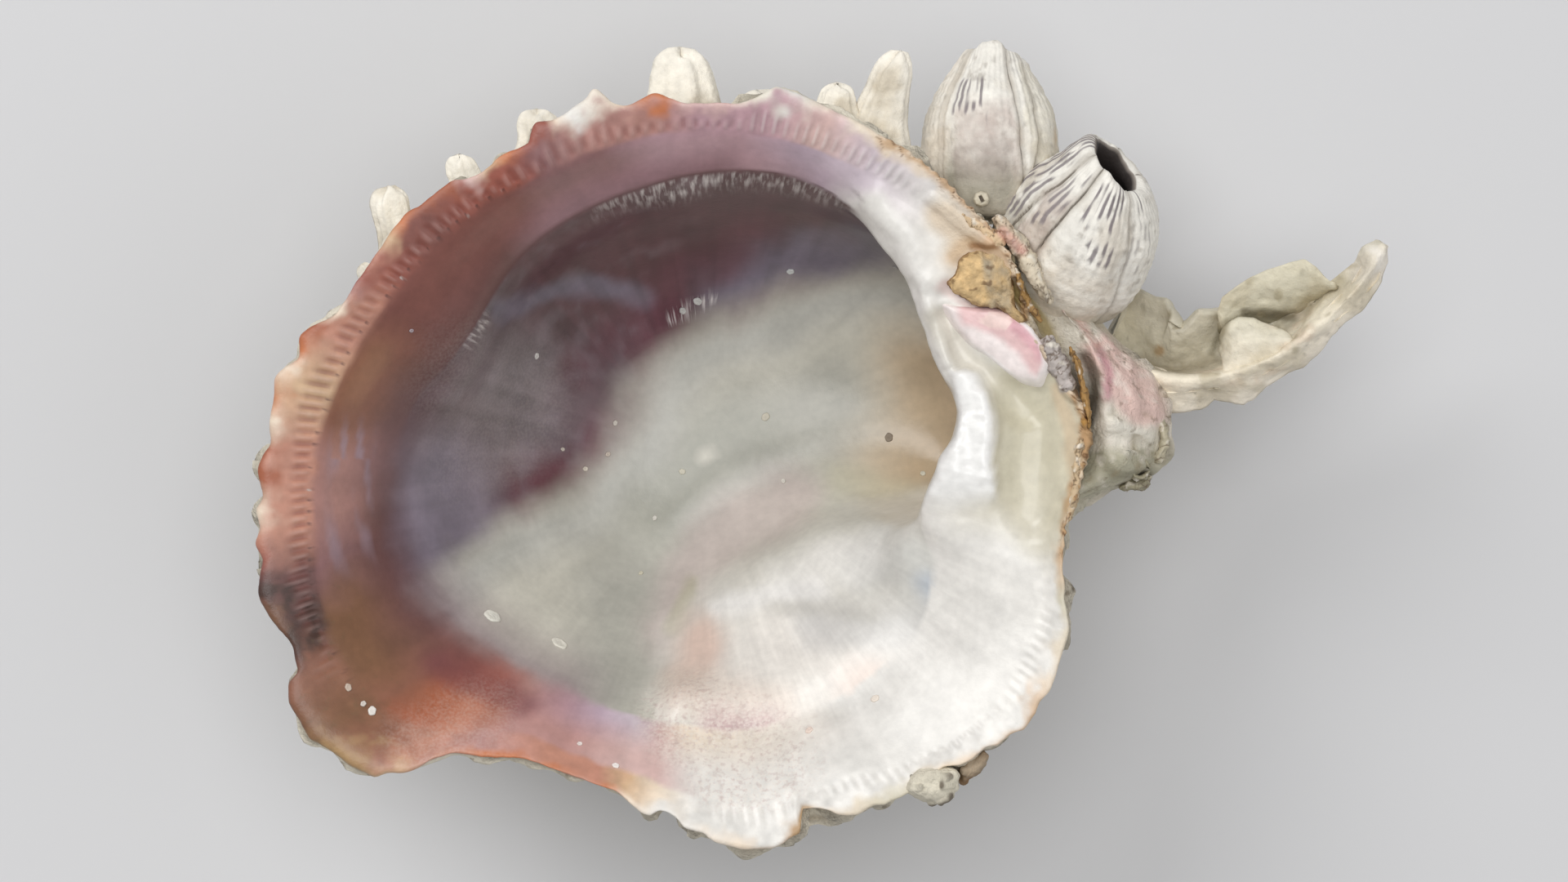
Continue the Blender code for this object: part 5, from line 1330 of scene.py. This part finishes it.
frill_parts = []
frill_tints = []
for n, (path, width, low, high, code) in enumerate(FRILLS):
    part = closed_mesh(crumbled(path, width, low, high, 110 + 7 * n))
    part_tint = srgb(code) * (1 + 0.16 * rough(part[0], 1.2, 120 + n, 3))[..., None]
    cracks = smooth(np.abs(rough(part[0], 1.4, 130 + n, 3)), 0.14, 0.03)
    part_tint = paint(part_tint, "5c4630", 0.75 * cracks)
    frill_parts.append(part)
    frill_tints.append(paint(part_tint, "efe8da", 0.7 * smooth(noise(part[0], 0.8, 140 + n), 0.3, 0.7)))
points, faces = merged(frill_parts)
frill_tint = np.concatenate(frill_tints)
rosy_path = [(38.6, 29.0), (41.0, 26.6)]
frill_tint = paint(frill_tint, "d2978b", 0.6 * patch(points[:, 0], points[:, 1], rosy_path, 0.2, 1.0))
frills = mesh_object("valve_frills", points, faces, frill_tint, 0.3, shell)
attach(frills, "root")
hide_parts("valve")

# The two large barnacles.
# Steep-walled acorn barnacles, each a ring of calcite plates joined along seams, hollow and open at the top.
# They are cemented to the outside of the valve and to each other.

BARNACLE_AROUND = 480
DASH_COUNT = 54


def off_angle(degrees, middle):
    """The angle from the middle, from -180 to 180."""
    return np.mod(degrees - middle + 180, 360) - 180


def plate_rows(profile):
    """The radius and level of rows up the wall, over the mouth and down inside, and their line numbers."""
    height, mouth = profile[-1]
    under = [(-3.0, 0.8 * profile[0][1])]
    belly = profile[1][1]
    inner = [(height - 0.5, 0.86 * mouth), (height - 4.0, 0.95 * mouth), (0.45 * height, 0.62 * belly)]
    lines = [(radius, level) for level, radius in under + profile + inner]
    table = np.array([[np.full(BARNACLE_AROUND, r), np.full(BARNACLE_AROUND, z)] for r, z in lines])
    counts = (4,) + (14,) * (len(profile) - 2) + (12, 4, 8, 8)
    rows = rows_through(table, counts)
    return rows[:, 0], rows[:, 1], line_numbers(counts)


def along_seams(flat, degrees, radius, low_share, seams, seed):
    """How open the cracks between plates are, the step from plate to plate, and how far off the seam is."""
    crack = np.zeros_like(radius)
    step = np.zeros_like(radius)
    near_seam = np.full_like(radius, np.inf)
    for n, (at_mouth, at_foot, open_share) in enumerate(seams):
        seam = at_mouth + off_angle(at_foot, at_mouth) * low_share**1.6
        seam = seam + 2.2 * noise(flat, 3.4, seed + 20 + n)
        away = off_angle(degrees, seam) * radius * math.pi / 180
        crack = np.maximum(crack, open_share * np.exp(-((away / 0.15) ** 2)))
        step = step + np.sign(away) * 0.16 * np.exp(-np.abs(away) / 2.2)
        near_seam = np.minimum(near_seam, np.abs(away))
    return crack * (0.55 + 0.45 * smooth(noise(flat, 3.0, seed + 1), -0.4, 0.3)), step, near_seam


def stained(tint, flat, degrees, level, height, patches, seed):
    """Broad stains; a patch is colour, strength, from and to angle, and from and to share of the height."""
    for colour, strength, span, (low, high) in patches:
        zone = between(degrees + 5 * noise(flat, 3, seed + 13), span, 9)
        zone = zone * smooth(level, low * height - 1.5, low * height + 1.0)
        zone = zone * smooth(level + noise(flat, 2.5, seed + 14), high * height + 1.5, high * height - 1.5)
        tint = paint(tint, colour, strength * zone * (0.75 + 0.35 * rough(flat, 1.5, seed + 15)))
    return tint


def dashed(tint, flat, degrees, level, height, stripes, seed):
    """Rows of dark dashes; a stripe is from and to angle, from and to share of the height, and how dark."""
    phi = np.radians(degrees)
    ragged = np.stack([phi * 20, 0 * phi, 0 * phi], axis=-1)
    line = np.cos(phi * DASH_COUNT + 1.5 * noise(flat, 6, seed + 2) + 1.0 * noise(flat, 1.3, seed + 16))
    broken = np.stack([degrees * 0.12 + 0 * level, level * 0.45, 0 * level], axis=-1)
    line = smooth(line, -0.45, 0.45) * smooth(noise(broken, 0.8, seed + 11), -0.35, 0.1)
    for start, end, low, high, dark in stripes:
        bottom = low * height + 0.8 * noise(ragged, 1.1, seed + 9)
        top = high * height + 0.8 * noise(ragged, 1.1, seed + 10)
        zone = between(degrees, (start, end), 4)
        zone = zone * smooth(level, bottom - 0.3, bottom + 0.5) * smooth(level, top + 0.3, top - 0.5)
        tint = paint(tint, "6f656b", dark * zone * line)
    return tint


def barnacle(name, foot, axis, profile, seams, tops, slant, stripes, patches, seed):
    """Profile is the wall as (level, radius) from foot to mouth. Angles run round the axis from the right,
    with 90 towards the eye: seams as (at mouth, at foot, how open), tops as (angle, half-width, rise)."""
    axis = unit(np.array(axis))
    side = unit(np.cross(axis, (0, 0, 1)))
    front = np.cross(side, axis)
    degrees = np.arange(BARNACLE_AROUND) * 360 / BARNACLE_AROUND
    phi = np.radians(degrees)
    wall, height = len(profile), profile[-1][0]
    radius, level, row_line = plate_rows(profile)
    on_wall = smooth(row_line, wall + 0.1, wall - 0.2)
    flat = np.stack([radius * np.cos(phi), radius * np.sin(phi), level], axis=-1)
    low_share = np.clip(1 - level / height, 0, 1)
    crack, step, near_seam = along_seams(flat, degrees, radius, low_share, seams, seed)
    swell = 0.045 * radius * smooth(near_seam, 0, 3.2)
    riblet = 0.035 * np.sin(phi * DASH_COUNT + 1.5 * noise(flat, 6, seed + 2))
    riblet = riblet * smooth(level, 0.2 * height, 0.6 * height)
    growth = 0.12 * rough(flat, 1.5, seed + 5, 3) + 0.04 * np.sin(level * 4.1 + 3 * noise(flat, 4, seed + 3))
    uneven = 0.25 * noise(flat, 4.2, seed + 4)
    radius = radius + on_wall * (swell + step - 0.34 * crack + riblet + uneven + growth)
    near_mouth = smooth(row_line, wall - 1.3, wall) * smooth(row_line, wall + 2.4, wall + 1.0)
    rise = slant[0] * np.cos(phi - math.radians(slant[1])) + 0.22 * noise(flat, 1.5, seed + 6)
    for angle, half_width, high in tops:
        rise = rise + high * smooth(np.abs(off_angle(degrees, angle)), half_width, 0.3 * half_width)
    level = level + near_mouth * rise
    local = np.stack([radius * np.cos(phi), radius * np.sin(phi), level], axis=-1)
    turned = np.array(foot) + local @ np.array([side, front, axis])
    tint = srgb("f0ece3") * (1 + 0.07 * rough(turned, 3, seed))[..., None]
    tint = paint(tint, "cbbfae", 0.55 * smooth(rough(turned, 5.5, seed + 3), 0.0, 0.8))
    tint = paint(tint, "a59d92", 0.5 * smooth(rough(turned, 1.3, seed + 12), 0.45, 0.9))
    tint = paint(tint, "9b8e74", 0.6 * smooth(level + 1.5 * noise(turned, 2.5, seed + 18), 4.5, 1.0))
    tint = stained(tint, flat, degrees, level, height, patches, seed)
    tint = dashed(tint, flat, degrees, level, height, stripes, seed)
    tint = paint(tint, "3d342c", 0.9 * smooth(crack, 0.35, 0.9) * on_wall)
    tint = paint(tint, "8d8171", 0.35 * smooth(near_seam, 0.9, 0.2) * on_wall)
    tint = paint(tint, "7d7269", 0.9 * smooth(row_line, wall, wall + 0.3) + 0 * level)
    # Down inside the mouth the tint turns near black, and so does the middle point at the bottom: painted
    # shade in the hollow.
    tint = paint(tint, "2b2320", smooth(row_line, wall + 0.25, wall + 1.1) + 0 * level)
    points, faces = ring_mesh(list(turned), np.array(foot) - 3 * axis, turned[-1].mean(0))
    tint = np.concatenate([tint.reshape(-1, 3), [IVORY, srgb("2b2320")]])
    return mesh_object(name, points, faces, tint, 0.25, chalky)


chalky = shell_material("barnacle_chalk", polished=0.45, dull=0.9, bump_size=0.9, bump_height=0.28)
opened = barnacle(
    "barnacle_open", (45.6, 23.4, 34.0), (0.40, 0.75, 0.53),
    profile=[(0, 9.0), (4, 9.9), (8, 9.9), (12, 9.2), (16, 7.0), (19.2, 3.9)],
    seams=[
        (46, 33, 0.9), (106, 122, 1.0), (136, 152, 0.9), (204, 212, 0.9), (262, 262, 0.9), (320, 316, 0.9),
    ],
    tops=[(172, 30, 0.5), (80, 30, 0.35), (20, 26, 0.2), (232, 26, -0.2), (290, 26, -0.3)],
    slant=(1.7, 172),
    stripes=[
        (142, 188, 0.38, 1.15, 0.8), (110, 134, 0.55, 1.0, 0.75), (56, 98, 0.73, 0.98, 0.85),
        (54, 86, 0.51, 0.66, 0.8), (14, 38, 0.86, 1.0, 0.8), (14, 44, 0.45, 0.8, 0.35),
    ],
    patches=[
        ("b5a297", 0.7, (104, 140), (0.35, 0.80)), ("d9cbb8", 0.5, (40, 100), (0.0, 0.4)),
        ("b3ac9b", 0.6, (130, 190), (0.1, 0.5)),
    ],
    seed=3,
)
tall = barnacle(
    "barnacle_tall", (37.0, 34.0, 35.0), (0.04, 0.99, -0.08),
    profile=[(0, 7.8), (4, 8.6), (8, 8.5), (12, 7.4), (15.6, 5.5), (18.2, 3.3)],
    seams=[
        (141, 138, 0.45), (69, 57, 0.9), (42, 52, 0.7), (205, 205, 0.9), (265, 265, 0.9), (330, 326, 0.9),
    ],
    tops=[(98, 46, 1.3), (150, 24, 0.5), (46, 24, 0.3)],
    slant=(0.3, 120),
    stripes=[
        (97, 131, 0.55, 0.80, 0.8), (93, 98, 0.44, 0.56, 0.6), (93, 97, 0.72, 0.78, 0.6),
        (124, 136, 0.3, 0.5, 0.3),
    ],
    patches=[
        ("e2d6c4", 0.6, (130, 200), (0.0, 1.0)), ("c2b2a9", 0.75, (62, 128), (0.10, 0.62)),
        ("9d9a8b", 0.6, (66, 140), (-0.1, 0.16)), ("8f857d", 0.45, (70, 130), (0.04, 0.36)),
        ("ddd5c0", 0.6, (-20, 60), (0.0, 0.9)), ("b98f55", 0.5, (8, 24), (0.36, 0.50)),
    ],
    seed=8,
)
for piece, node in ((opened, "barnacle_open"), (tall, "barnacle_tall")):
    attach(piece, "root")
    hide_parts(node)

# The young barnacle.
# A flat low cone of the same calcite with a slit at its top, cemented to the foot of the tall barnacle.


def pebble(outline, bottom, top, rings_up, power=2.4):
    """Rings of a flattened lump that rises from its (x, y) outline to a rounded top, and its middle."""
    edge = along_outline(outline, 144, 5)
    middle = edge.mean(0)
    rings = []
    for t in np.linspace(-0.9, 0.96, rings_up):
        out = (1 - abs(t) ** power) ** (1 / power)
        height = bottom + (top - bottom) * 0.5 * (1 + t)
        rings.append(np.column_stack([middle + (edge - middle) * out, np.full(len(edge), height)]))
    for share in np.linspace(1, 0.06, 16)[1:]:
        dome = height + 0.02 * (top - bottom) * (1 - share**2)
        rings.append(np.column_stack([middle + (edge - middle) * out * share, np.full(len(edge), dome)]))
    return np.array(rings), middle


SPAT_OUTLINE = [
    (37.1, 33.3), (36.8, 34.1), (36.0, 34.4), (35.2, 34.1), (34.9, 33.3), (35.2, 32.6), (36.0, 32.3),
    (36.8, 32.6),
]
spat_rings, spat_middle = pebble(SPAT_OUTLINE, 41.6, 44.4, 24)
spat_x, spat_y = spat_rings[..., 0] - spat_middle[0], spat_rings[..., 1] - spat_middle[1]
from_middle = np.hypot(spat_x, spat_y)
on_top = spat_rings[..., 2] > 43
slit = smooth(np.abs(spat_x + 0.5 * spat_y), 0.32, 0.12) * smooth(from_middle, 0.55, 0.35) * on_top
spat_rings[..., 2] -= 0.5 * slit + 0.12 * smooth(from_middle, 0.9, 0.6) * on_top
spat_top = spat_rings[-1, :, 2].mean()
points, faces = ring_mesh(list(spat_rings), (*spat_middle, 41.6), (*spat_middle, spat_top))
spat_tint = chalk_tint(points, 5, srgb("d9d0bb"))
# The slit at the top is painted dark: painted shade in the opening.
spat_tint = paint(spat_tint, "5d5347", np.concatenate([slit.ravel(), [0, 1]]))
spat = mesh_object("barnacle_spat", points, faces, spat_tint, 0.3, chalky)
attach(spat, "root")
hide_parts("barnacle_spat")

# The dried ligament.
# A tan horny flake, cracked and fibrous, dried fast in the ligament pit behind the tooth.

FLAKE_OUTLINE = [
    (31.3, 22.6), (32.1, 23.2), (32.5, 24.8), (33.7, 26.4), (35.1, 26.7), (36.4, 26.3), (37.9, 27.0),
    (38.9, 26.0), (39.6, 24.4), (39.9, 21.9), (40.4, 19.5), (41.8, 17.2), (40.9, 17.3), (39.4, 18.4),
    (38.0, 19.2), (36.4, 19.4), (34.2, 20.2), (32.1, 21.4),
]
flake_rings, flake_middle = pebble(FLAKE_OUTLINE, 42.6, 47.6, 40, 5.0)
flake_walls = smooth(np.arange(len(flake_rings)), 42, 36)[:, None]
flake_rings += ring_normals(flake_rings) * (0.42 * flake_walls * rough(flake_rings, 1.6, 81))[..., None]
flake_top = smooth(flake_rings[..., 2], 45.6, 46.8)
flake_folds = 0.6 * noise(flake_rings, 2.6, 82) - 0.5 * np.abs(rough(flake_rings, 1.3, 84, 3))
flake_rings[..., 2] += flake_top * flake_folds
points, faces = ring_mesh(list(flake_rings), (*flake_middle, 42.6), flake_rings[-1].mean(0))
flake_grain = 0.16 * rough(points, 2.0, 83) + 0.22 * rough(points, 0.7, 89, 2)
flake_tint = srgb("cfb080") * (1 + flake_grain)[..., None]
fibrous = smooth(points[:, 0] + 0.8 * noise(points, 2, 85), 35.8, 36.8) * smooth(points[:, 0], 40.0, 39.4)
flake_tint = paint(flake_tint, "b0a188", 0.9 * fibrous * (0.7 + 0.5 * rough(points, 1.0, 86)))
flake_tint = paint(flake_tint, "5e4022", 0.7 * smooth(rough(points, 0.9, 87, 2), 0.4, 0.8))
# The flake's lower sides painted dark brown: partly the horn's darker edge, partly painted shade under the
# flake.
flake_edge_and_shade = smooth(points[:, 2] + 0.4 * noise(points, 1.0, 90), 46.9, 46.2)
flake_tint = paint(flake_tint, "77522c", 0.8 * flake_edge_and_shade)
horn = shell_material("dry_ligament", polished=0.5, dull=0.8, bump_size=0.9, bump_height=0.5, mottle=0.12)
flake = mesh_object("ligament", points, faces, flake_tint, 0.2, horn)
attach(flake, "root")
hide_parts("ligament")

# The crust on the lower right edge.
# A pale porous crust that another animal left on the margin, with a brown flake beside it.

CRUST_OUTLINE = [
    (25.7, -42.8), (26.5, -41.0), (27.8, -40.1), (30.5, -39.7), (32.5, -39.9), (33.0, -40.7),
    (32.8, -42.5), (31.5, -43.9), (30.2, -44.4), (28.4, -44.1), (27.1, -43.6),
]
BROWN_OUTLINE = [
    (33.1, -40.2), (34.1, -38.6), (36.2, -37.7), (36.9, -38.3), (36.5, -39.7), (35.2, -41.0),
    (33.6, -41.8),
]
crust_parts = []
for outline, bottom, top, seed in ((CRUST_OUTLINE, 44.0, 50.3, 91), (BROWN_OUTLINE, 43.5, 48.3, 95)):
    rings, middle = pebble(outline, bottom, top, 36, 3.0)
    pores = smooth(noise(rings, 1.3, seed + 1), 0.45, 0.8)
    rings += ring_normals(rings) * (0.3 * rough(rings, 1.8, seed) - 0.5 * pores)[..., None]
    crust_parts.append(ring_mesh(list(rings), (*middle, bottom), rings[-1].mean(0)))
points, faces = merged(crust_parts)
crust_tint = chalk_tint(points, 91, srgb("e0d9c6"))
# Dark in the pore dents of the pale crust, which follow the same noise: painted shade in the pores.
crust_tint = paint(crust_tint, "463626", smooth(noise(points, 1.3, 92), 0.5, 0.8) * 0.8)
brown = np.arange(len(points)) >= len(crust_parts[0][0])
crust_tint = paint(crust_tint, "7d5c36", brown * (0.8 + 0.2 * noise(points, 2, 97)))
crust_matter = shell_material("crust", polished=0.5, dull=0.9, bump_size=0.9, bump_height=0.5, mottle=0.12)
crust = mesh_object("edge_crust", points, faces, crust_tint, 0.1, crust_matter)
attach(crust, "root")
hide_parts("edge_crust")

# The floor, light and camera: a plain pale studio seen from straight above.

bpy.ops.mesh.primitive_plane_add(size=3.0, location=(0, 0, -0.0003))
floor = bpy.context.object
floor.name = "floor"
floor_paint, floor_nodes, _ = node_material("floor_paint")
floor_nodes["Principled BSDF"].inputs["Base Color"].default_value = (0.66, 0.66, 0.67, 1)
floor_nodes["Principled BSDF"].inputs["Roughness"].default_value = 0.9
floor.data.materials.append(floor_paint)
LIT_PLACE = (0, 0, 0.03)


def soft_light(name, place, size, power):
    """A round soft lamp at this place, aimed at the shell."""
    light = bpy.data.lights.new(name, "AREA")
    light.shape = "DISK"
    light.size = size
    light.energy = power
    obj = bpy.data.objects.new(name, light)
    obj.location = place
    obj.rotation_euler = (Vector(LIT_PLACE) - Vector(place)).to_track_quat("-Z", "Y").to_euler()
    bpy.context.scene.collection.objects.link(obj)


soft_light("key", (-0.45, 0.55, 0.75), 0.6, 4.4)
soft_light("fill", (0.6, -0.2, 0.8), 0.9, 1.6)
soft_light("top", (0.0, 0.1, 1.3), 0.8, 6.0)
world = bpy.data.worlds.new("studio")
world.use_nodes = True
world.node_tree.nodes["Background"].inputs["Color"].default_value = (1, 1, 1, 1)
world.node_tree.nodes["Background"].inputs["Strength"].default_value = 0.30
bpy.context.scene.world = world
bpy.context.scene.view_settings.view_transform = "Standard"

camera_data = bpy.data.cameras.new("camera")
camera_data.lens = 180
camera_data.sensor_width = 36
camera_data.clip_end = 10
camera = bpy.data.objects.new("camera", camera_data)
camera.location = (EYE_ABOVE[0] * MM, EYE_ABOVE[1] * MM, EYE_HEIGHT * MM)
bpy.context.scene.collection.objects.link(camera)
bpy.context.scene.camera = camera
